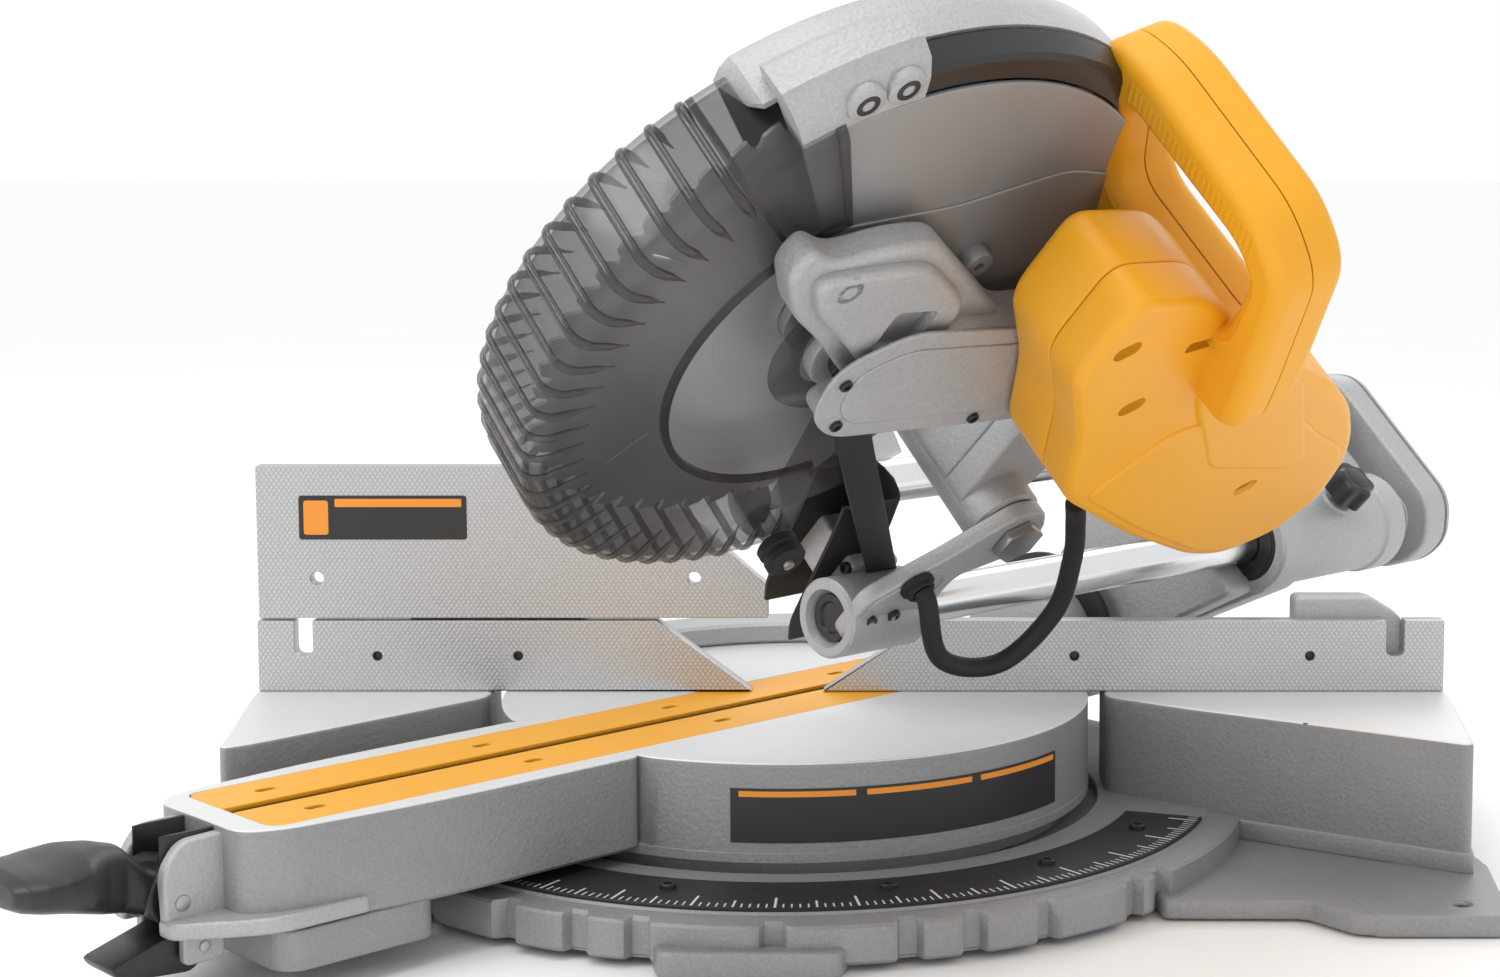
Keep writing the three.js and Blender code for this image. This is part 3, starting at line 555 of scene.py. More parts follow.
def scale_finish(name):
    """Black scale with light graduations: a tick every degree, longer every fifth and tenth."""
    f = Finish(name, Metallic=0.2)
    x = f.distance((1, 0, 0), (0, 0, 0))
    y = f.distance((0, 1, 0), (0, 0, 0))
    radius = (x * x + y * y).math("SQRT")
    turn = y.math("ARCTAN2", x) * math.degrees(1)
    def ticks(step, width, low, high):
        near = (turn + 360).math("PINGPONG", step / 2)
        return (near < width) * f.band(radius, low, high)
    # The wave is 0 at every whole step, so a narrow band round 0 is one tick.
    mask = ticks(1, 0.1, 0.2445, 0.2505) + ticks(5, 0.14, 0.2395, 0.2505) + ticks(10, 0.16, 0.234, 0.2505)
    dust = f.noise(60, 4)
    f.color(f.mix(mask.math("MINIMUM", 1), (0.018, 0.018, 0.02, 1), (0.75, 0.75, 0.72, 1)))
    f.set("Roughness", 0.38 + 0.2 * dust)
    return f.bump(dust, 0.0002, 0.3)


def copper_finish(name, color):
    """Wound wire under varnish: fine parallel turns along the motor's axis."""
    f = Finish(name, Metallic=0.7, Coat_Weight=0.4)
    x = f.distance(HEAD.axes[0], JOINT["rotor_spin"]["pos_m"])
    turns = x.math("PINGPONG", 0.0006) / 0.0006
    tone = f.noise(80, 3)
    f.color(f.mix(tone, shade(color, 0.6), shade(color, 1.3)))
    f.set("Roughness", 0.3 + 0.2 * tone)
    return f.bump(turns, 0.0004, 0.8)


def floor_finish(name):
    f = Finish(name, Specular_IOR_Level=0.2)
    cloud = f.noise(3, 3)
    fine = f.noise(300, 2)
    f.color(f.mix(cloud, (0.95, 0.95, 0.95, 1), (0.98, 0.98, 0.98, 1)))
    f.set("Roughness", 0.55 + 0.15 * fine)
    return f.bump(fine, 0.0001, 0.2)


FINISHES = {}
NODE_FINISH = {
    "cast_aluminium": "cast", "machined_aluminium": "machined", "steel": "steel", "dark_steel": "dark_steel",
    "chromed_tube": "chrome", "yellow_plastic": "yellow", "black_plastic": "black", "scale_black": "scale",
    "black_rubber": "rubber", "smoked_guard": "smoke", "copper_winding": "copper", "blade_steel": "blade",
}


def make_finishes(look):
    """Fills the table of finishes from the user's colours."""
    FINISHES.update({
        "cast": cast_finish("painted casting", look.cast_color),
        # Base and turntable: a darker copy of the casting colour, painted shade on their walls, and tops brighter
        # than the fences' metal, a painted highlight.
        "cast_painted_shade_and_highlight": cast_finish("milled table casting with painted shade and highlight", shade(look.cast_color, 0.7), 0.35,
                                 shade(look.machined_color, 1.4)),
        "machined": machined_finish("milled aluminium", look.machined_color),
        "fence": machined_finish("knurled fence", look.machined_color, True),
        "steel": steel_finish("bright steel", look.steel_color),
        "plate": steel_finish("guard plate steel", shade(look.steel_color, 0.8), 0.45, 0.45),
        "dark_steel": steel_finish("dark oxide steel", (0.05, 0.05, 0.055), 0.4, 0.7),
        "chrome": steel_finish("ground and chromed tube", (0.75, 0.76, 0.77), 0.14, 1.0),
        "blade": blade_finish("ground blade", (0.5, 0.5, 0.51)),
        "yellow": plastic_finish("yellow nylon", look.yellow_color, 0.4),
        "grip": plastic_finish("yellow grip", look.yellow_color, 0.5, grip=True),
        "orange": plastic_finish("label heading", (0.85, 0.3, 0.03), 0.5),
        "black": plastic_finish("black nylon", look.black_color, 0.36, 800, 0.0002),
        "label": plastic_finish("black label film", (0.02, 0.02, 0.021), 0.42, 1500, 0.00005),
        "rubber": rubber_finish("black rubber", (0.014, 0.014, 0.014)),
        "smoke": smoke_finish("smoked guard", look.smoke_color, 0.16),
        "rib": smoke_finish("smoked guard ribs", shade(look.smoke_color, 1.6), 0.38),
        "scale": scale_finish("graduated scale"),
        "copper": copper_finish("varnished winding", (0.32, 0.12, 0.04)),
        "floor": floor_finish("pale studio floor"),
    })


# ---------- the user's sizes and colours ----------
class MiterSawLook(bpy.types.PropertyGroup):
    """Sizes and colours that a user would change."""

    rib_count: bpy.props.IntProperty(name="Guard ribs", description="Hoops across the lower guard",
                                     default=27, min=8, max=60)
    tooth_count: bpy.props.IntProperty(name="Blade teeth", description="Teeth round the blade",
                                       default=60, min=12, max=120)
    handle_edge: bpy.props.FloatProperty(name="Handle rounding",
                                         description="Radius of the handle's edges in mm",
                                         default=8.5, min=2.0, max=16.0)
    yellow_color: bpy.props.FloatVectorProperty(name="Housing", description="Colour of the moulded housing",
                                                subtype="COLOR", size=3, min=0, max=1,
                                                default=(0.82, 0.37, 0.008))
    black_color: bpy.props.FloatVectorProperty(name="Knobs", description="Colour of knobs, levers and trims",
                                               subtype="COLOR", size=3, min=0, max=1,
                                               default=(0.018, 0.018, 0.019))
    cast_color: bpy.props.FloatVectorProperty(name="Castings", description="Colour of the painted castings",
                                              subtype="COLOR", size=3, min=0, max=1,
                                              default=(0.43, 0.435, 0.445))
    machined_color: bpy.props.FloatVectorProperty(name="Fences", description="Colour of milled aluminium",
                                                  subtype="COLOR", size=3, min=0, max=1,
                                                  default=(0.52, 0.525, 0.53))
    steel_color: bpy.props.FloatVectorProperty(name="Steel", description="Colour of bare steel",
                                               subtype="COLOR", size=3, min=0, max=1,
                                               default=(0.42, 0.425, 0.43))
    smoke_color: bpy.props.FloatVectorProperty(name="Lower guard", description="Tint of the clear guard",
                                               subtype="COLOR", size=3, min=0, max=1,
                                               default=(0.022, 0.02, 0.02))


# ---------- pieces ----------
class MITERSAW_OT_stage(bpy.types.Operator):
    """Camera, soft lights and the pale floor"""

    bl_idname = "miter_saw.stage"
    bl_label = "Stage"

    def execute(self, context):
        scene = context.scene
        camera = bpy.data.cameras.new("camera")
        camera.sensor_width = 36
        camera.lens = 58.5
        camera.shift_x = -0.105
        camera.shift_y = -0.059
        eye = bpy.data.objects.new("camera", camera)
        eye.location = (0.068, -1.467, 0.411)
        eye.rotation_euler = (math.radians(84.33), 0, 0)
        scene.collection.objects.link(eye)
        scene.camera = eye
        for name, place, size, power, tint in (
            ("overhead_softbox", (-0.3, -0.5, 2.0), 1.2, 11, (1, 1, 1)),
            ("left_softbox", (-2.0, -1.2, 1.5), 0.9, 13, (1, 0.99, 0.97)),
            ("rear_softbox", (0.8, 2.0, 1.6), 1.2, 8, (1, 1, 1)),
        ):
            lamp = bpy.data.lights.new(name, "AREA")
            lamp.size = size
            lamp.energy = power
            lamp.color = tint
            holder = bpy.data.objects.new(name, lamp)
            holder.location = place
            holder.rotation_euler = (Vector((0, 0, 0.25)) - Vector(place)).to_track_quat("-Z", "Y").to_euler()
            scene.collection.objects.link(holder)
        world = bpy.data.worlds.new("studio")
        world.use_nodes = True
        world.node_tree.nodes["Background"].inputs["Color"].default_value = (1, 1, 1, 1)
        world.node_tree.nodes["Background"].inputs["Strength"].default_value = 1.0
        scene.world = world
        scene.view_settings.view_transform = "Standard"
        half = 40.0
        x, y = np.meshgrid(np.linspace(-half, half, 3), np.linspace(-half, half, 3), indexing="ij")
        points = np.stack([x, y, np.full(x.shape, -0.0005)], -1).reshape(-1, 3)
        quads = [[i * 3 + j, (i + 1) * 3 + j, (i + 1) * 3 + j + 1,
                  i * 3 + j + 1] for i in range(2) for j in range(2)]
        mesh = bpy.data.meshes.new("floor")
        mesh.from_pydata(points.tolist(), [], quads)
        mesh.materials.append(FINISHES["floor"])
        floor = bpy.data.objects.new("floor", mesh)
        scene.collection.objects.link(floor)
        return {"FINISHED"}


class MITERSAW_OT_carried_nodes(bpy.types.Operator):
    """Finishes and eased edges for the frame's own nodes"""

    bl_idname = "miter_saw.carried_nodes"
    bl_label = "Carried nodes"

    def execute(self, context):
        for name, node in NODES.items():
            node.data.materials.clear()
            node.data.materials.append(FINISHES[NODE_FINISH[SLOT_OF[name]]])
            weld = node.modifiers.new("joined faces", "WELD")
            weld.merge_threshold = 0.00002
            soften(node, 0.7)
            split = node.modifiers.new("crisp edges", "EDGE_SPLIT")
            split.split_angle = math.radians(34)
            node.data.shade_smooth()
        return {"FINISHED"}


class MITERSAW_OT_base(bpy.types.Operator):
    """Base: ring with detent notches, two wings, feet and the graduated scale"""

    bl_idname = "miter_saw.base"
    bl_label = "Base"

    def execute(self, context):
        a = np.linspace(0, 2 * np.pi, 721)[:-1]
        degrees = np.degrees(a)
        # The notch depth is 0 between detents and 7 mm in a slot about 3 degrees wide at each detent.
        slots = np.array([0, 15, 22.5, 31.6, 45, 50, -15, -22.5, -31.6, -45, -50]) + 270
        near = np.min(np.abs(degrees[:, None] - slots[None, :] % 360), axis=1)
        notch = np.clip((1.6 - near) / 0.5, 0, 1) * 7
        front = (degrees > 195) & (degrees < 345)
        ring = np.array([(184, 19), (184, 26), (185, 27), (252, 27), (253, 25.5), (262, 25.5),
                         (RING_R - 1.5, 25),
                         (RING_R, 23.5), (RING_R, 6), (RING_R - 2, 4), (RING_R - 8, 4), (RING_R - 9, 18)])
        outer = np.array([0, 0, 0, 0, 0, 0, 1, 1, 1, 1, 0, 0])
        r = ring[None, :, 0] - outer[None, :] * (notch * front)[:, None]
        rings = np.stack([r * np.cos(a)[:, None], r * np.sin(a)[:, None],
                          np.broadcast_to(ring[:, 1], r.shape)], -1)
        parts = [tube(rings, closed=True)]
        parts.append(round_bar("z", (0, 0), RING_R - 8, 11, 19, 1, 64, 8))
        parts.append(round_bar("z", (0, 0), 34, 0, 12, 1, 48, 8))
        wings = {
            "right": [(188, -12), (236, -46), (384, -137), (398, -8), (398, 84), (256, 84), (188, 40)],
            "left": [(-186, -12), (-186, 40), (-256, 84), (-331, 84), (-331, -8), (-314, -143), (-300, -134),
                     (-240, -70)],
        }
        for corners in wings.values():
            outline = rounded(corners, 9)
            parts.append(slab("z", outline, 12, TABLE, 2.5, 4))
            middle = outline.mean(0)
            parts.append(slab("z", middle + (outline - middle) * 1.012, 11, 24, 2))
        feet = [
            [(312, -212), (388, -212), (398, -110), (300, -110)],
            [(-326, -196), (-331, -100), (-240, -100), (-262, -196)],
            [(300, 80), (380, 80), (380, 112), (300, 112)],
            [(-320, 80), (-250, 80), (-250, 112), (-320, 112)],
        ]
        holes = [(366, -190), (-300, -176), (340, 100), (-285, 100)]
        for corners, hole in zip(feet, holes):
            parts.append(slab("z", [rounded(corners, 9), circle(hole, 5, 24)], 0.2, 12, 2))
        flange = [(206, -183), (283, -184), (291, -194), (306, -211), (387, -211), (397, -110), (389, -60),
                  (240, -20), (190, -60)]
        parts.append(slab("z", [rounded(flange, 6), circle(holes[0], 5, 24)], 1, 11.6, 2))
        lower = [(-300, -196), (-331, -160), (-331, -40), (-210, -30), (-180, -110), (-232, -160)]
        parts.append(slab("z", rounded(lower, 8), 1, 11.2, 2))
        tab = rounded([(-58, -278), (34, -278), (44, -240), (-66, -240)], 7)
        parts.append(slab("z", tab, 0.2, 14, 2))
        make("base_ring_and_wings", BENCH, parts, "cast_painted_shade_and_highlight", "base", ["base_casting"])

        b = np.radians(np.linspace(198, 342, 220))
        flat = np.array([(206, 27.2), (206, 28.4), (206.6, 29), (251.4, 29), (252, 28.4), (252, 27.2)])
        r = np.broadcast_to(flat[None, :, 0], (len(b), len(flat)))
        rings = np.stack([r * np.cos(b)[:, None], r * np.sin(b)[:, None],
                          np.broadcast_to(flat[:, 1], r.shape)], -1)
        make("graduated_scale", BENCH, [tube(rings)], "scale", "base", ["miter_scale_plate"])

        screws = []
        for angle in (207, 230, 255, 285, 310, 333):
            c, s = math.cos(math.radians(angle)), math.sin(math.radians(angle))
            screws.append(socket_screw("z", (224 * c, 224 * s), 4.6, 29.2, 1, 2.4))
        for x, y in ((300, -60), (-268, -40)):
            screws.append(socket_screw("z", (x, y - 20), 4, TABLE - 1.6, 1, 1.4))
        make("base_screws", BENCH, screws, "dark_steel", "base")
        return {"FINISHED"}


class MITERSAW_OT_fences(bpy.types.Operator):
    """Fixed and sliding fence plates with their slots, holes, ledges and clamp knob"""

    bl_idname = "miter_saw.fences"
    bl_label = "Fences"

    def execute(self, context):
        low = TABLE + 0.3
        top = TABLE + 44
        # Each plate has a notch open at its top, a rounded end 22 mm over the table.
        def notch(x):
            return [(x + 5.5, top), (x + 5.5, TABLE + 22), (x - 5.5, TABLE + 22), (x - 5.5, top)]
        ease = [1.2, 1.2, 5.4, 5.4, 1.2]
        left = [rounded([(-329, low), (-27, low), (-85, top), *notch(-301), (-329, top)],
                        [1.2, 1.2, *ease, 1.2])]
        right = [rounded([(16, low), (396, low), (396, top), *notch(366), (81, top)], [1.2, 1.2, *ease, 1.2])]
        left += [circle((x, TABLE + 22), 3, 20) for x in (-256, -170)]
        right += [circle((x, TABLE + 22), 3, 20) for x in (170, 314)]
        plugs = [round_bar("y", (x, TABLE + 22), 2.9, 3, 10, 0.4, 20) for x in (-256, -170, 170, 314)]
        make("fence_set_screws", BENCH, plugs, "dark_steel", "base")
        parts = [slab("y", left, 0, 12, 0.6, 2), slab("y", right, 0, 12, 0.6, 2)]
        make("fixed_fence_plates", BENCH, parts, "fence", "base", ["fixed_fence"])
        a = np.radians(np.linspace(3, 177, 60))
        bridge = np.array([(152, low), (184, low), (186, low + 2), (186, TABLE + 12), (184, TABLE + 14),
                           (152, TABLE + 14), (150, TABLE + 12), (150, low + 2)])
        r = np.broadcast_to(bridge[None, :, 0], (len(a), len(bridge)))
        y = np.maximum(r * np.sin(a)[:, None], 13)
        rings = np.stack([r * np.cos(a)[:, None], y, np.broadcast_to(bridge[:, 1], r.shape)], -1)
        ledges = [tube(rings)]
        for x0, x1 in ((-329, -140), (140, 396)):
            ledges.append(slab("z", rounded([(x0, 11.5), (x1, 11.5), (x1, 46), (x0, 46)], 4), low, TABLE + 13,
                               1.5))
        ledges.append(slab("y", rounded([(306, TABLE + 8), (372, TABLE + 8), (372, top), (352, TABLE + 56),
                                         (306, TABLE + 56)], 4), 11.5, 33, 1.5))
        make("fence_bridge", BENCH, ledges, "cast", "base")
        foot = top + 1.5
        crest = TABLE + 139
        plate = [(-328, foot), (-17, foot), (-17, TABLE + 66), (-22, TABLE + 70), (-100, crest),
                 (-328, crest)]
        holes = [circle((-292, TABLE + 70), 4, 24), circle((-62, TABLE + 70), 4, 24)]
        parts = [slab("y", [rounded(plate, 1.5), *holes], 0.4, 12, 0.6, 2)]
        make("sliding_fence_plate", BENCH, parts, "fence", "left_fence", ["sliding_fence_left"])
        rail = [slab("y", rounded([(-238, TABLE + 16), (-130, TABLE + 16), (-130, TABLE + 80),
                                   (-238, TABLE + 80)], 4),
                     12.2, 23.8, 1.5),
                slab("y", rounded([(-322, crest - 12), (-110, crest - 12), (-104, crest - 5),
                                   (-322, crest - 5)], 2),
                     11.5, 17, 1.2)]
        make("sliding_fence_slide", BENCH, rail, "cast", "left_fence")
        notice = [slab("y", rounded([(-302, TABLE + 94), (-200, TABLE + 94), (-200, TABLE + 121),
                                     (-302, TABLE + 121)],
                                    2), -0.05, 0.9, 0.2)]
        make("fence_label", BENCH, notice, "label", "left_fence")
        heading = [slab("y", rounded([(-280, TABLE + 114), (-203, TABLE + 114), (-203, TABLE + 119),
                                      (-280, TABLE + 119)], 0.8), -0.25, 0.5, 0.1),
                   slab("y", rounded([(-299, TABLE + 97), (-284, TABLE + 97), (-284, TABLE + 118),
                                      (-299, TABLE + 118)], 2), -0.25, 0.5, 0.1)]
        make("fence_label_heading", BENCH, heading, "orange", "left_fence")
        knob = [round_bar("y", (-184, TABLE + 40), 4, 24.4, 40), ]
        lobes = np.arange(40) * 2 * np.pi / 40
        radius = 13 + 1.4 * np.cos(5 * lobes)
        outline = np.column_stack([-184 + radius * np.cos(lobes), TABLE + 40 + radius * np.sin(lobes)])
        knob.append(slab("y", outline, 38, 54, 3, 4))
        make("fence_knob_grip", BENCH, knob, "black", "fence_knob", ["fence_clamp_knob"])
        return {"FINISHED"}


def table_outline():
    """Disc and arm as one outline: an arc from the arm's right side round the back to its left side."""
    half = 58
    meet = math.asin(half / DISC_R)
    a = np.linspace(-np.pi / 2 + meet + 0.03, 1.5 * np.pi - meet - 0.03, 140)
    arc = DISC_R * np.column_stack([np.cos(a), np.sin(a)])
    arm = rounded([(-half, -168), (-half, -300), (-50, -382), (-40, -402), (40, -402), (50, -382),
                   (half, -300), (half, -168)], [6, 40, 16, 10, 10, 16, 40, 6])
    return np.vstack([arc, arm])


class MITERSAW_OT_table(bpy.types.Operator):
    """Turntable with its arm, kerf plates, side label, pointer and trunnion"""

    bl_idname = "miter_saw.table"
    bl_label = "Turntable"

    def execute(self, context):
        outline = table_outline()
        pocket = rounded([(-44, -386), (44, -386), (44, 120), (-44, 120)], [10, 10, 4, 4])
        kerf = [(-7, -379), (7, -379), (7, 112), (-7, 112)]
        parts = [slab("z", [outline, pocket], TABLE - 3.4, TABLE, 0.8, 3, 0.0),
                 slab("z", [outline, rounded(kerf, 2)], 34, TABLE - 3.3, 0.0, 1, 2.0)]
        skirt = np.array([(30, 30.2), (DISC_R - 4, 30.2), (DISC_R + 0.6, 31), (DISC_R + 0.6, 36),
                          (DISC_R - 1, 37), (30, 37)])
        parts.append(turned("z", (0, 0), skirt, 128))
        parts.append(round_bar("z", (0, 0), 168, 20.4, 31, 0.8, 96, 100))
        deep = rounded([(-55, -300), (-55, -380), (-46, -388), (46, -388), (55, -380), (55, -300)], 8)
        inner = rounded([(-47, -300.5), (-47, -374), (-40, -380), (40, -380), (47, -374), (47, -300.5)], 6)
        parts.append(slab("z", [deep, inner], 14, 35, 1.5))
        make("turntable_casting", MITER, parts, "cast_painted_shade_and_highlight", "miter_table", ["turntable"])

        side = []
        for s in (-1, 1):
            side.append(slab("x", rounded([(-396, 36), (-432, 36), (-434, 68), (-424, 82), (-396, 83)], 7),
                             16.3 * s if s > 0 else -24, 24 if s > 0 else -16.3, 1.6))
            side.append(slab("x", rounded([(-402, 20), (-424, 20), (-424, 40), (-402, 40)], 4),
                             18.2 if s > 0 else -24, 24 if s > 0 else -18.2, 1.2))
        shelf = rounded([(-57, -340), (-57, -392), (-30, -434), (-17, -434), (-17, -404), (17, -404),
                         (17, -434), (30, -434), (57, -392), (57, -340)], [2, 14, 10, 3, 3, 3, 3, 10, 14, 2])
        side.append(slab("z", shelf, 36, 44.5, 2))
        side.append(slab("z", rounded([(-46, 150), (46, 150), (46, 214), (-46, 214)], 10), 34, TABLE - 6, 3))
        side.append(round_bar("y", (0, TABLE), 44, 196.2, 231.6, 2, 64, 11))
        make("arm_tip_cheeks", MITER, side, "cast", "miter_table")

        plates = []
        for s in (-1, 1):
            corners = [(5 * s, -385.4), (43.4 * s, -385.4), (43.4 * s, 119.4), (5 * s, 119.4)]
            holes = [oval((24 * s, y), 12, 5.2, 90) for y in (-350, -215, -80, 55)]
            plates.append(slab("z", [rounded(corners, [1.5, 10, 3, 1.5]), *holes], TABLE - 3, TABLE - 0.3, 0.5,
                               2))
        make("kerf_plates", MITER, plates, "yellow", "miter_table", ["kerf_plate_left", "kerf_plate_right"])
        screws = [socket_screw("z", (24 * s, y - 1.5), 2.3, TABLE - 2.6, 1, 1.2)
                  for s in (-1, 1) for y in (-350, -215, -80, 55)]
        make("kerf_plate_screws", MITER, screws, "dark_steel", "miter_table")

        def on_side(from_deg, to_deg, low, high, depth):
            b = np.radians(np.linspace(from_deg, to_deg, 48))
            shape = np.array([(DISC_R - 1, low), (DISC_R + depth, low), (DISC_R + depth, high),
                              (DISC_R - 1, high)])
            r = np.broadcast_to(shape[None, :, 0], (len(b), 4))
            return tube(np.stack([r * np.cos(b)[:, None], r * np.sin(b)[:, None],
                                  np.broadcast_to(shape[:, 1], r.shape)], -1))
        make("table_label", MITER, [on_side(306, 374, 42, 72, 0.5)], "label", "miter_table")
        strips = [on_side(a, a + 20.5, 67.5, 70.6, 0.8) for a in (307.5, 330, 352.5)]
        make("table_label_headings", MITER, strips, "orange", "miter_table")
        pointer = slab("z", rounded([(-9, -190), (-9, -250), (0, -266), (9, -250), (9, -190)], 2), 29.8, 30.8,
                       0.4)
        make("miter_pointer_plate", MITER, [pointer], "yellow", "miter_table", ["miter_pointer"])
        return {"FINISHED"}


class MITERSAW_OT_miter_lever(bpy.types.Operator):
    """Paddle lever at the arm's tip, its pocket, pin and the detent latch below"""

    bl_idname = "miter_saw.miter_lever"
    bl_label = "Miter lever"

    def execute(self, context):
        # Stations along the paddle: half width, half thickness and height; each ring is a superellipse
        # |x/a|^2.6 + |z/b|^2.6 = 1.
        y = np.array([-424, -434, -446, -458, -470, -482, -494, -502, -507, -508.6])
        half_width = np.array([12.3, 12.3, 12.4, 19, 29, 33, 33, 30, 22, 3])
        half_height = np.array([11, 12.5, 17, 17.5, 16, 14, 12, 10, 7, 1])
        middle = np.array([53, 56, 64, 67, 69.5, 71, 71.5, 71.5, 71, 70.6])
        fine = np.linspace(0, len(y) - 1, 46)
        at = np.arange(len(y))
        y, half_width, half_height, middle = (np.interp(fine, at, v) for v in (y, half_width, half_height,
                                                                               middle))
        t = np.arange(40) * 2 * np.pi / 40
        def power(v):
            return np.sign(v) * np.abs(v) ** (2 / 2.6)
        x = half_width[:, None] * power(np.cos(t))[None, :]
        z = middle[:, None] + half_height[:, None] * power(np.sin(t))[None, :]
        dish = 3.0 * np.exp(-((y[:, None] + 488) / 14) ** 2) * np.clip(np.sin(t)[None, :], 0, 1)
        rings = np.stack([x, np.broadcast_to(y[:, None], x.shape), z - dish], -1)
        parts = [tube(rings), round_bar("x", (-424, TABLE - 34), 13.4, -14.3, 14.3, 1.5, 48, 4.3)]
        piece = make("paddle_lever", MITER, parts, "black", "miter_lever", ["miter_lock_lever"], sharp=60)
        smooth = piece.modifiers.new("smooth paddle", "SUBSURF")
        smooth.levels = 1
        smooth.render_levels = 1
        pin = [round_bar("x", (-424, TABLE - 34), 4, -25, 25, 0.6, 24),
               round_bar("x", (-413, 28), 3, -25, 25, 0.5, 20)]
        make("tip_pins", MITER, pin, "steel", "miter_table", ["lever_pin", "latch_pin"])
        return {"FINISHED"}


class MITERSAW_OT_rails(bpy.types.Operator):
    """Rear housing, bearings, chromed rails, end bracket and knobs"""

    bl_idname = "miter_saw.rails"
    bl_label = "Rails and housing"

    def execute(self, context):
        tubes = []
        for side, x in (("left", -RAIL_X), ("right", RAIL_X)):
            profile = [(RAIL_R - 3, -97.8), (RAIL_R - 0.6, -97.8), (RAIL_R - 0.02, -97), (RAIL_R - 0.02, 449),
                       (RAIL_R - 0.6, 449.8), (RAIL_R - 3, 449.8)]
            make(f"rail_tube_{side}", HEAD, [turned("y", (x, RAIL_Z), profile, 64)], "chrome", "carriage",
                 [f"rail_{side}"])
            bush = [(RAIL_R + 0.3, 0), (24.6, 0), (25, 0.6), (25, 33.4), (24.6, 34), (RAIL_R + 0.3, 34)]
            for end, y in (("front", 266), ("rear", 370)):
                ring = turned("y", (x, RAIL_Z), [(r, y + h) for r, h in bush], 56)
                seal = turned("y", (x, RAIL_Z), [(RAIL_R + 0.6, y - 1.2), (21, y - 1.2), (22, y - 0.4),
                                                 (22, y + 1), (RAIL_R + 0.6, y + 1)], 48)
                make(f"linear_bearing_{side}_{end}", HEAD, [ring, seal] if end == "front" else [ring],
                     "dark_steel", "bevel_frame", [f"rail_bearing_{side}_{end}"])
            sleeve = [(25.4, 266), (31, 266), (33, 268), (33, 286), (31.4, 288), (31.4, 382), (33, 384),
                      (33, 402), (31, 404), (25.4, 404)]
            tubes.append(turned("y", (x, RAIL_Z), sleeve, 64))
        housing = tubes + [
            slab("y", rounded([(-16, RAIL_Z - 24), (16, RAIL_Z - 24), (16, RAIL_Z - 16), (-16, RAIL_Z - 16)],
                              2),
                 268, 402, 1.5),
            slab("y", rounded([(-16, RAIL_Z + 14), (16, RAIL_Z + 14), (16, RAIL_Z + 23), (-16, RAIL_Z + 23)],
                              2),
                 268, 402, 1.5),
            slab("y", rounded([(-28, -34), (28, -34), (44, 60), (74, 140), (74, 150), (12, 150), (12, 120),
                               (-12, 120),
                               (-12, 150), (-74, 150), (-74, 140), (-44, 60)], 8), 268, 299.6, 3, 4),
            slab("y", rounded([(-28, -34), (28, -34), (44, 60), (70, 138), (-70, 138), (-44, 60)], 8),
                 241, 269, 3, 4),
            slab("y", rounded([(-18, 20), (18, 20), (30, 128), (-30, 128)], 5), 298, 379, 2.5),
            turned("y", (0, 0), [(10.4, 232.6), (42, 232.6), (44, 234.6), (44, 298), (42, 300), (10.4, 300)],
                   72),
            round_bar("z", (RAIL_X, 336), 11, 180, 186, 1.2, 32, 5.2),
        ]
        make("rail_housing", HEAD, housing, "cast", "bevel_frame", ["bevel_housing"])
        bolts = [socket_screw("y", (x, z), 4.2, 299.6, 1, 2.8) for x,
                 z in ((-26, 86), (26, 86), (-50, 132), (50, 132))]
        make("housing_screws", HEAD, bolts, "dark_steel", "bevel_frame")
        end = rounded([(-62, RAIL_Z - 34), (62, RAIL_Z - 34), (76, RAIL_Z - 8), (76, RAIL_Z + 14),
                       (56, RAIL_Z + 36), (-56, RAIL_Z + 36), (-76, RAIL_Z + 14), (-76, RAIL_Z - 8)], 16, 8)
        window = rounded([(-22, RAIL_Z - 16), (22, RAIL_Z - 16), (22, RAIL_Z + 18), (-22, RAIL_Z + 18)], 8)
        cap = [slab("y", [end, circle((-RAIL_X, RAIL_Z), 13.4, 48), circle((RAIL_X, RAIL_Z), 13.4, 48)],
                    426.4, 450.3, 4, 5, 3),
               slab("y", [end], 450.2, 455.6, 4, 5, 0)]
        cap += [turned("y", (x, RAIL_Z), [(13.4, 425.6), (18, 425.6), (19.5, 427), (19.5, 430), (13.4, 430)],
                       48)
                for x in (-RAIL_X, RAIL_X)]
        cap.append(slab("y", window, 450, 455.9, 1.2))
        make("rail_end_cap", HEAD, cap, "cast", "carriage", ["rail_end_bracket"])
        screws = [socket_screw("y", (x, z), 3.8, 453.6, 1, 1.6) for x, z in
                  ((-RAIL_X, RAIL_Z), (RAIL_X, RAIL_Z), (-10, RAIL_Z - 26), (10, RAIL_Z + 28))]
        make("end_cap_screws", HEAD, screws, "dark_steel", "carriage")
        a = np.arange(72) * 2 * np.pi / 72
        lobes = 13.5 + 1.4 * np.cos(6 * a)
        star = np.column_stack([RAIL_X + lobes * np.cos(a), 336 + lobes * np.sin(a)])
        knob = [slab("z", star, 190.2, 207.6, 3, 5, 1.5),
                round_bar("z", (RAIL_X, 336), 5, 185.5, 191, 0.5, 24),
                round_bar("z", (RAIL_X, 336), 8, 206, 208, 0.8, 32)]
        make("rail_star_knob", HEAD, knob, "black", "rail_knob", ["rail_lock_knob"])
        return {"FINISHED"}


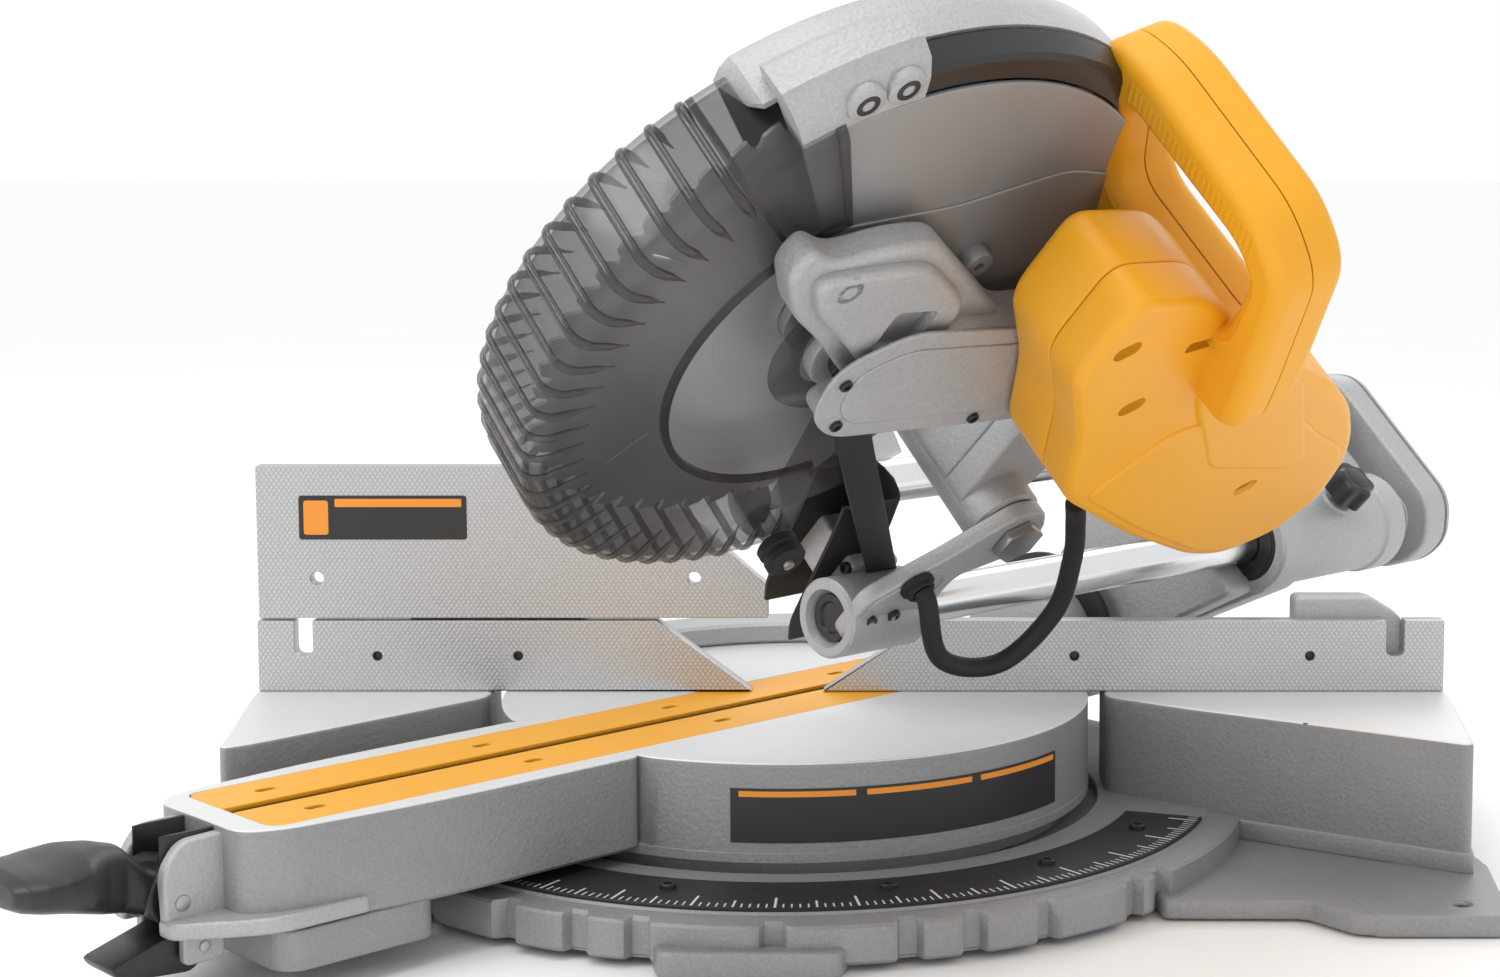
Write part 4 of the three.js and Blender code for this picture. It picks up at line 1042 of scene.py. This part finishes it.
class MITERSAW_OT_carriage(bpy.types.Operator):
    """Carriage casting with its inclined bracket, dust chute, grommet and power cable"""

    bl_idname = "miter_saw.carriage"
    bl_label = "Carriage"

    def execute(self, context):
        sleeve = [(13.4, -97.6), (16, -103.6), (20.5, -103.6), (22, -102), (22, -46), (20.5, -44.2),
                  (13.4, -44.2)]
        casting = [turned("y", (x, RAIL_Z), sleeve, 56) for x in (-RAIL_X, RAIL_X)]
        casting.append(slab("y", rounded([(-36, RAIL_Z - 13), (24, RAIL_Z - 13), (24, RAIL_Z + 17),
                                          (-36, RAIL_Z + 17)], 4), -81, -45, 3))
        side = rounded([(-102, 150), (-46, 136), (-44, 194), (-4, 208), (2, 228), (-10, 246), (-30, 246),
                        (-64, 214), (-102, 184)], 8)
        pocket = rounded([(-92, 160), (-56, 152), (-54, 196), (-66, 202), (-92, 180)], 5)
        for x0, x1 in ((46.2, 56), (-56, -46.2)):
            casting.append(slab("x", [side, circle(PIVOT, 10.4, 40)], x0, x1, 2, 4))
            face = x1 - 0.4 if x1 > 0 else x0 + 0.4
            casting.append(slab("x", [rounded([(-98, 154), (-50, 142), (-48, 199), (-66, 208), (-98, 183)], 5),
                                      pocket],
                                min(face, face + 1.2 * np.sign(face)) - 0.4,
                                max(face, face + 1.2 * np.sign(face)), 0.5))
        casting.append(slab("x", rounded([(-78, 112), (-46, 112), (-46, 142), (-78, 142)], 4), 31, 40, 2))
        make("carriage_body", HEAD, casting, "cast", "carriage", ["carriage_casting"])
        bosses = [socket_screw("x", (y, z), 4, 56.6, 1, 2.4) for y, z in ((-74, 168), (-90, 166))]
        bosses += [socket_screw("y", (x, z), 3.6, -81.4, -1, 2.2) for x,
                   z in ((-30, 146), (-30, 162), (20, 164))]
        plugs = [turned("y", (x, RAIL_Z), [(0.02, -98.4), (8, -98.4), (9, -99.8), (12.6, -99.8), (12.6, -98),
                                           (9.6, -97.6),
                                           (9.6, -90), (0.02, -90)], 48) for x in (-RAIL_X, RAIL_X)]
        make("rail_end_plugs", HEAD, plugs, "black", "carriage")
        make("carriage_screws", HEAD, bosses, "dark_steel", "carriage")

        # The chute is a U-shaped channel: its back curve is swept with a section open toward the blade.
        back = smooth_path([(0, -66, 215), (0, -57, 192), (0, -46, 160), (0, -34, 120), (0, -25, 92)], 36)
        front = smooth_path([(0, -113, 214), (0, -104, 186), (0, -95, 152), (0, -84, 112), (0, -73, 90)], 36)
        t = np.linspace(0, 1, 26)
        bend = np.clip(t * 6, 0, 1)
        half = 15.2 * np.sin(bend * np.pi / 2) ** 0.6
        outer_side = np.column_stack([half, t])
        profile = np.vstack([outer_side[::-1], outer_side[1:] * [-1, 1]])
        inner = profile * [(15.2 - 2.0) / 15.2, 1] + [0, 0]
        inner = inner[::-1].copy()
        inner[:, 1] = np.maximum(inner[:, 1], 0.05)
        loop = np.vstack([profile, inner])
        rings = []
        for b, f in zip(back, front):
            ring = np.empty((len(loop), 3))
            ring[:, 0] = loop[:, 0]
            ring[:, 1:] = b[1:] + loop[:, 1:] * (f - b)[1:]
            rings.append(ring)
        chute = [tube(np.array(rings))]
        make("dust_chute_shell", HEAD, chute, "rubber", "carriage", ["dust_chute"], sharp=50)

        grommet = turned("x", (-76, 196), [(5.7, 56.2), (9.4, 56.2), (10, 57), (10, 59.4), (8.4, 60.2),
                                           (8.2, 62.4), (7.4, 63.4), (5.7, 63.4)], 36)
        make("cable_grommet", HEAD, [grommet], "rubber", "carriage")
        route = smooth_path([(57, -76, 196), (68, -76, 196), (90, -62, 170), (103, -30, 176), (100, -14, 214),
                             (90, -20, 250), (84, -34, 276), (82, -44, 290)], 120)
        make("power_cable_sheath", HEAD, [along(route, circle((0, 0), 5.4, 22), (1, 0, 0.01))], "rubber",
             ("carriage", "head"), ["power_cable"], sharp=60, bend=[(57, -76, 196), (82, -44, 290)])
        return {"FINISHED"}


class MITERSAW_OT_head(bpy.types.Operator):
    """Head casting, upper guard, steel plate and gear case"""

    bl_idname = "miter_saw.head"
    bl_label = "Head and upper guard"

    def execute(self, context):
        arm = rounded([(222, -44), (300, -40), (404, -34), (392, 24), (300, 26), (222, 4)], 8)[:, ::-1]
        window = rounded([(262, -26), (380, -22), (376, 12), (262, 14)], 6)[:, ::-1]
        parts = [slab("x", [arm, window], -31.6, 12, 2), slab("x", [arm], 12, 28.6, 2),
                 turned("x", PIVOT, [(10.3, -45.4), (20, -45.4), (22, -43.6), (22, 43.6), (20, 45.4),
                                     (10.3, 45.4)], 56),
                 slab("z", rounded([(-44, -60), (-31, -60), (-31, -34), (-44, -34)], 2), 229.2, 242.8, 1.5)]
        make("head_arm", HEAD, parts, "cast", "head", ["head_casting"])

        angles = np.linspace(-8, 137, 96)
        section = np.array([(-35.7, 58), (-35.7, 148), (-34, 160), (-28, 170.5), (-18, 175.2), (-8, 176),
                            (4, 176),
                            (4, 172.6), (-8, 172.6), (-16, 172), (-25.5, 168.2), (-31, 159), (-32.4, 148),
                            (-32.4, 58)])
        # The crown fades into the flat side at both ends of the cover.
        wide = np.clip((angles - 8) / 6, 0, 1)[:, None] * np.clip((137 - angles) / 2, 0, 1)[:, None]
        crown_x = np.where(section[:, 0] > -34, -32.4, -35.7)
        crown_r = np.minimum(section[:, 1], 150)
        a = np.radians(angles)[:, None]
        x = crown_x + (section[:, 0] - crown_x) * wide
        r = crown_r + (section[:, 1] - crown_r) * wide
        shell = tube(np.stack([x, ARBOR[0] + r * np.cos(a), ARBOR[1] + r * np.sin(a)], -1))
        left = slab("x", rounded([(-42, 262), (-44, 400), (18, 388), (20, 300), (-4, 262)], 8), -35.6, -32.3,
                    0.8)
        block = [(-8, 174), (-8, 184), (-4, 187), (12, 188), (20, 183), (23, 174), (23, 162), (20, 159),
                 (8, 159), (5, 172)]
        bracket = ringed(block, np.linspace(112, 132, 22))
        at = [ARBOR + 173 * np.array([math.cos(math.radians(g)), math.sin(math.radians(g))]) for g in (115.8,
                                                                                                       122)]
        lugs = [round_bar("x", p, 9.5, 12, 25, 2.5, 40) for p in at]
        beads = [ringed([(-35.9, 118 + k), (-35.9, 121 + k), (-35.2, 121.6 + k), (-35.2, 117.4 + k)],
                        np.linspace(20, 128, 60)) for k in (0, 12)]
        make("upper_guard_cover", HEAD, [shell, left, bracket, *lugs, *beads], "cast", "head",
             ["upper_guard"])
        make("bracket_screws", HEAD, [socket_screw("x", p, 5.6, 24, 1, 1.4) for p in at], "dark_steel",
             "head")
        trim = ringed([(4.2, 158), (4.2, 174), (6, 175.4), (17, 172.5), (19, 170), (19, 159.5), (16, 158)],
                      np.linspace(18, 113.8, 70))
        make("guard_trim", HEAD, [trim], "black", "head")

        span = np.linspace(-14, 132, 80)
        rim = np.column_stack([ARBOR[0] + 158.5 * np.cos(np.radians(span)),
                               ARBOR[1] + 158.5 * np.sin(np.radians(span))])
        hub = np.column_stack([ARBOR[0] + 60 * np.cos(np.radians(span[::-1])),
                               ARBOR[1] + 60 * np.sin(np.radians(span[::-1]))])
        plate = slab("x", np.vstack([rim, hub]), 19, 21, 0.5, 2)
        step = slab("x", rounded([(-300, 433), (-206, 452), (-150, 474), (-96, 470), (-90, 424), (-150, 396),
                                  (-240, 410)], 10), 20.8, 22.4, 0.7)
        posts = [round_bar("x", ARBOR + np.array(p), 8, 20.8, 30, 1, 32, 2.6) for p in ((40, 52), (-20, 68))]
        make("guard_side_plate", HEAD, [plate, step, *posts], "plate", "head", ["upper_guard_plate"])
        cover = [turned("x", ARBOR, [(0.02, -37), (60, -37), (66, -36.4), (68, -36.4), (68, -38), (66, -38.4),
                                     (14, -38.4), (12, -39.6), (0.02, -39.6)], 72)]
        cover += [socket_screw("x", ARBOR + 56 * np.array([math.cos(g), math.sin(g)]), 5, -38.4, -1, 2.4)
                  for g in (0.5 * math.pi,)]
        make("arbor_cover", HEAD, cover, "plate", "head", ["blade_access_cover"])

        case = rounded([(-311, 433), (-308, 450), (-288, 441), (-259, 450), (-234, 452), (-157, 402),
                        (-60, 405),
                        (-20, 406), (-5, 380), (-9, 351), (-40, 335), (-150, 335), (-198, 341), (-232, 363),
                        (-264, 389), (-291, 407)], 9, 6)
        nose = rounded([(-300, 436), (-262, 441), (-236, 443), (-196, 418), (-196, 372), (-236, 378),
                        (-262, 398), (-286, 414)], 12, 6)
        square = rounded([(-238, 414), (-214, 414), (-214, 390), (-238, 390)], 3)
        step = rounded([(-250, 352), (-232, 336), (-40, 335), (-9, 351), (-5, 380), (-20, 406), (-150, 403),
                        (-196, 404), (-212, 380)], 14, 6)
        housing = [slab("x", case, 29.6, 45, 4, 5, 1.5), slab("x", [nose, square], 42, 51, 3.5, 5),
                   slab("x", step, 40, 54, 2.5, 4), slab("x", square, 42, 45.6, 0.5),
                   round_bar("x", (-157, 386), 8, 40, 53.6, 1.6, 36, 3.2),
                   round_bar("x", (-278, 430), 8.5, 40, 51, 2, 36, 3.6),
                   round_bar("x", (-190, 352), 7, 40, 52, 1.6, 32, 3.0),
                   round_bar("x", ARBOR, 27, 22, 31, 2, 56, 14)]
        make("gear_case_body", HEAD, housing, "cast", "head", ["gear_case"])
        housing.append(slab("x", rounded([(-241, 498), (-192, 508), (-156, 484), (-150, 430), (-200, 430),
                                          (-224, 456)], 7, 6), 29.4, 46, 3, 4))
        housing += [round_bar("x", p, 7, 40, 52, 1.6, 36, 2.8) for p in ((-232, 494), (-180, 440))]
        lid = rounded([(-254, 352), (-232, 335), (-40, 334), (-8, 350), (-4, 380), (-20, 408), (-150, 404),
                       (-226, 406), (-258, 384)], 14, 6)
        inner = rounded([(-240, 356), (-226, 345), (-44, 344), (-18, 356), (-15, 378), (-26, 397),
                         (-150, 394), (-220, 395), (-244, 380)], 10, 6)
        make("gear_case_lid", HEAD, [slab("x", lid, 54.3, 56.2, 0.7), slab("x", inner, 55.9, 57, 0.8)], "cast",
             "head", ["gear_case_cover"])
        pins = [socket_screw("x", (y, z), 3.2, 56.4, 1, 1.8) for y, z in
                ((-247, 374), (-234, 345), (-140, 340), (-140, 399))]
        pins += [socket_screw("x", (-278, 430), 3.6, 48, 1, 1.6),
                 socket_screw("x", (-190, 352), 3, 50, 1, 1.4)]
        make("gear_case_screws", HEAD, pins, "dark_steel", "head")
        stop = [round_bar("x", (-157, 386), 3.1, 48, 56.6, 0.6, 24),
                round_bar("x", (-157, 386), 5.2, 53, 56.8, 0.8, 28)]
        make("gear_case_plug", HEAD, stop, "black", "head")
        return {"FINISHED"}


class MITERSAW_OT_motor(bpy.types.Operator):
    """Yellow motor housing in two shells, its screws and slot"""

    bl_idname = "miter_saw.motor"
    bl_label = "Motor housing"

    def execute(self, context):
        shape = [(-190, 488), (-190, 436), (-150, 392), (-120, 342), (-40, 302), (37, 271), (69, 266),
                 (105, 280),
                 (120, 310), (110, 345), (94, 366), (68, 390), (32, 411), (-3, 424), (-60, 446), (-140, 488)]
        outline = rounded(shape, 13, 6)
        make("motor_shell_inner", HEAD, [slab("x", outline, 57.4, 91.8, 1.2, 3, 5)], "yellow", "head",
             ["motor_housing"])
        recesses = [(-172, 456), (-134, 415), (25, 335)]
        holes = [oval(p, 13, 7.5, 32) for p in recesses]
        vent = rounded([(-128, 452), (-104, 458), (-105, 463), (-129, 457)], 1.6)
        shell = [slab("x", [outline, *holes, vent], 92.2, 115.4, 6, 7, 0.8)]
        belly = rounded([(-112, 346), (-38, 309), (36, 278), (68, 273), (99, 286), (112, 310), (104, 340),
                         (88, 360), (52, 374), (20, 392), (-30, 402), (-84, 392)], 12, 6)
        shell.append(slab("x", [belly, holes[2]], 112, 117.0, 2.6, 4))
        foot = rounded([(-100, 444), (-54, 446), (-6, 420), (58, 356), (52, 346), (-27, 357), (-86, 412)], 9,
                       6)
        shell.append(slab("x", foot, 100, 117.7, 3, 5))
        make("motor_shell_outer", HEAD, shell, "yellow", "head", ["motor_end_cover"])
        # Black floors in the screw recesses and a black plug in the vent: painted shade in the pockets of the
        # yellow shell.
        floor = [slab("x", oval(p, 12.4, 7, 32), 104, 110, 0.5) for p in recesses]
        floor.append(slab("x", vent, 104, 112, 0.3))
        make("motor_recess_shade", HEAD, floor, "black", "head")
        screws = [socket_screw("x", p, 2.8, 110, 1, 1.6) for p in recesses]
        make("motor_screws", HEAD, screws, "dark_steel", "head")
        button = [round_bar("z", (42, -110), 6, 408.2, 417.8, 1.6, 36)]
        make("spindle_button", HEAD, button, "yellow", "spindle_lock", ["spindle_lock_button"])
        return {"FINISHED"}


class MITERSAW_OT_handle(bpy.types.Operator):
    """D-handle in two halves with a dimpled grip and a trigger under its bar"""

    bl_idname = "miter_saw.handle"
    bl_label = "Handle"

    def execute(self, context):
        look = context.scene.miter_saw_look
        loop = rounded([(-60, -30), (74, -30), (76, 8), (76, 92), (50, 112), (-40, 116), (-72, 104),
                        (-76, 20)], 22, 8)
        eye = rounded([(-42, 26), (50, 26), (54, 76), (40, 84), (-40, 84), (-48, 74)], 16, 8)
        edge = look.handle_edge
        rear = slab("y", [loop, eye], 0.25, 19, edge, 10, 0.4, hole_edge=edge * 0.85)
        front = (rear[0] * [1, -1, 1], [face[::-1] for face in rear[1]])
        make("handle_half_rear", GRIP, [rear], "grip", "head", ["handle_rear_shell"], sharp=50)
        make("handle_half_front", GRIP, [front], "grip", "head", ["handle_front_shell"], sharp=50)
        core = slab("y", [(loop - [0, 43]) * 0.99 + [0, 43], (eye - [4, 55]) * 1.02 + [4, 55]], -0.4, 0.4,
                    0.1)
        make("handle_parting_line", GRIP, [core], "black", "head")
        screws = [socket_screw("y", (x, z), 3.0, 18.2, 1, 0.6) for x, z in ((-62, 40), (66, 50), (64, 0))]
        make("handle_screws", GRIP, screws, "dark_steel", "head")
        lever = rounded([(-34, 74), (0, 71), (34, 74), (34, 90), (-34, 90)], 3)
        make("trigger_lever", GRIP, [slab("y", lever, -6.5, 6.5, 2.2, 4)], "black", "trigger_body",
             ["trigger"])
        return {"FINISHED"}


class MITERSAW_OT_blade(bpy.types.Operator):
    """Toothed blade with expansion slots, flanges and arbor screw"""

    bl_idname = "miter_saw.blade"
    bl_label = "Blade"

    def execute(self, context):
        teeth = context.scene.miter_saw_look.tooth_count
        # Each tooth: a steep face, a short tip, a long back, and a round gullet before the next one.
        phase = np.array([0.0, 0.03, 0.18, 0.55, 0.72, 0.84, 0.94])
        depth = np.array([0.0, 0.0, 0.5, 2.6, 7.0, 8.4, 6.6])
        a = ((np.arange(teeth)[:, None] + phase[None, :]) / teeth * 2 * np.pi).ravel()
        r = BLADE_R - 0.1 - np.tile(depth, teeth)
        disc = np.column_stack([ARBOR[0] + r * np.cos(a), ARBOR[1] + r * np.sin(a)])
        slots = []
        for g in np.arange(5) * 72 + 20:
            c, s = math.cos(math.radians(g)), math.sin(math.radians(g))
            slots.append(oval(ARBOR + 118 * np.array([c, s]), 26, 1.6, g))
        body = slab("x", [disc, circle(ARBOR, 13, 48), *slots], -0.95, 0.95, 0.12, 1)
        make("toothed_blade", HEAD, [body], "blade", "spindle", ["saw_blade"])
        flange = [turned("x", ARBOR, [(12.9, -6.9), (26, -6.9), (28, -5.6), (28, -1.4), (21, -1.4),
                                      (20, -2.2), (12.9, -2.2)], 64)]
        make("clamping_flange", HEAD, flange, "steel", "spindle", ["outer_flange"])
        screw = [turned("x", ARBOR, [(0.02, -14), (16, -14), (16, -8), (0.02, -8)], 48),
                 slab("x", circle(ARBOR, 10, 6), -20, -13.9, 0.8)]
        make("arbor_hex_screw", HEAD, screw, "dark_steel", "spindle", ["arbor_screw"])
        return {"FINISHED"}


class MITERSAW_OT_lower_guard(bpy.types.Operator):
    """Ribbed smoked guard, its dark lips, roller and link"""

    bl_idname = "miter_saw.lower_guard"
    bl_label = "Lower guard"

    def execute(self, context):
        look = context.scene.miter_saw_look
        # U section: a wall on each side joined by a crown of elliptical corners.
        t = np.linspace(0, np.pi / 2, 7)
        crown = np.column_stack([27 - 9 + 9 * np.sin(t), 166.5 - 10 + 10 * np.cos(t)])[::-1]
        left = np.column_stack([-28 + 9 - 9 * np.sin(t), 166.5 - 10 + 10 * np.cos(t)])
        outer = np.vstack([[(27, 97)], crown, left, [(-28, 97)]])
        inner = np.vstack([[(-25.4, 97)], np.column_stack([-25.4 + 7 - 7 * np.sin(t),
                                                           164 - 8 + 8 * np.cos(t)])[::-1],
                           np.column_stack([24.4 - 7 + 7 * np.sin(t), 164 - 8 + 8 * np.cos(t)]),
                           [(24.4, 97)]])
        shell = ringed(np.vstack([outer, inner]), np.linspace(125.4, 289.6, 110))
        tail = ringed([(24.2, 34), (24.2, 128), (25, 129.6), (26.8, 129.6), (26.8, 34)],
                      np.linspace(280.3, 315.7, 26))
        hub = turned("x", ARBOR, [(30.3, 24.2), (45.4, 24.2), (46, 25), (46, 26.4), (45.4, 27), (30.3, 27)],
                     72)
        make("guard_shell", HEAD, [shell, tail, hub], "smoke", "guard", ["lower_guard"], sharp=50)

        hoops = []
        gap = np.linspace(143.5, 286, look.rib_count)
        path = np.vstack([[(26.2, 138)], [(27, 150)], crown, left, [(-28, 150)], [(-27.4, 138)]])
        s = np.concatenate([[0], np.cumsum(np.linalg.norm(np.diff(path, axis=0), axis=1))])
        even = np.linspace(0, s[-1], 34)
        path = np.column_stack([np.interp(even, s, path[:, 0]), np.interp(even, s, path[:, 1])])
        taper = np.clip(np.minimum(even, s[-1] - even) / 12, 0.25, 1)
        for g in np.radians(gap):
            out = np.array([0, math.cos(g), math.sin(g)])
            spine = path[:, :1] * [1, 0, 0] + path[:, 1:] * out
            spine[:, 1] += ARBOR[0]
            spine[:, 2] += ARBOR[1]
            across = np.array([0, -math.sin(g), math.cos(g)])
            hoops.append(along(spine, circle((0, 0), 1, 10) * [1.4, 2.3], across, scale=taper))
        for r0, x0 in ((97.5, 24.4), (97.5, -28)):
            hoops.append(ringed([(x0, r0 - 0.5), (x0, r0 + 3), (x0 + 2.6, r0 + 3), (x0 + 2.6, r0 - 0.5)],
                                np.linspace(126, 289, 90)))
        for a0, a1 in ((125.2, 126.8), (141.2, 142.4)):
            hoops.append(ringed(np.vstack([outer + [0, 0.5], inner]), np.linspace(a0, a1, 4)))
        make("guard_ribs", HEAD, hoops, "rib", "guard", sharp=60)
        pin = ARBOR + np.array([46, -155])
        make("roller_pin", HEAD, [round_bar("x", pin, 3, 26, 43.8, 0.5, 24)], "steel", "guard")
        wheel = [turned("x", pin, [(3.3, 27.6), (9.6, 27.6), (11, 29), (11, 33), (9.8, 34), (9.8, 35.4),
                                   (11, 36.4), (11, 40.4), (9.6, 41.8), (3.3, 41.8)], 48)]
        make("guard_roller_wheel", HEAD, wheel, "rubber", "roller", ["guard_roller"])
        bar = rounded([(-38, 126), (-26, 138), (-190, 334), (-204, 320)], 5)
        make("guard_link_bar", HEAD, [slab("x", bar, 27.3, 28.7, 0.3)], "black", "link", ["guard_link"])
        return {"FINISHED"}


OPERATORS = (
    MITERSAW_OT_stage, MITERSAW_OT_carried_nodes, MITERSAW_OT_base, MITERSAW_OT_fences, MITERSAW_OT_table,
    MITERSAW_OT_miter_lever, MITERSAW_OT_rails, MITERSAW_OT_carriage, MITERSAW_OT_head, MITERSAW_OT_motor,
    MITERSAW_OT_handle, MITERSAW_OT_blade, MITERSAW_OT_lower_guard,
)


class MITERSAW_PT_panel(bpy.types.Panel):
    """Sizes, colours and the buttons that build each piece"""

    bl_idname = "MITERSAW_PT_panel"
    bl_label = "Miter Saw"
    bl_space_type = "VIEW_3D"
    bl_region_type = "UI"
    bl_category = "Miter Saw"

    def draw(self, context):
        look = context.scene.miter_saw_look
        for name in look.bl_rna.properties.keys():
            if name not in {"rna_type", "name"}:
                self.layout.prop(look, name)
        for operator in OPERATORS:
            self.layout.operator(operator.bl_idname)


CLASSES = (MiterSawLook, *OPERATORS, MITERSAW_PT_panel)


def register():
    for cls in CLASSES:
        bpy.utils.register_class(cls)
    bpy.types.Scene.miter_saw_look = bpy.props.PointerProperty(type=MiterSawLook)


def unregister():
    del bpy.types.Scene.miter_saw_look
    for cls in reversed(CLASSES):
        bpy.utils.unregister_class(cls)


def main():
    """Registers the add-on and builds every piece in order."""
    register()
    make_finishes(bpy.context.scene.miter_saw_look)
    for operator in OPERATORS:
        group, action = operator.bl_idname.split(".")
        if getattr(getattr(bpy.ops, group), action)() != {"FINISHED"}:
            raise RuntimeError(operator.bl_idname)


if __name__ == "__main__":
    main()
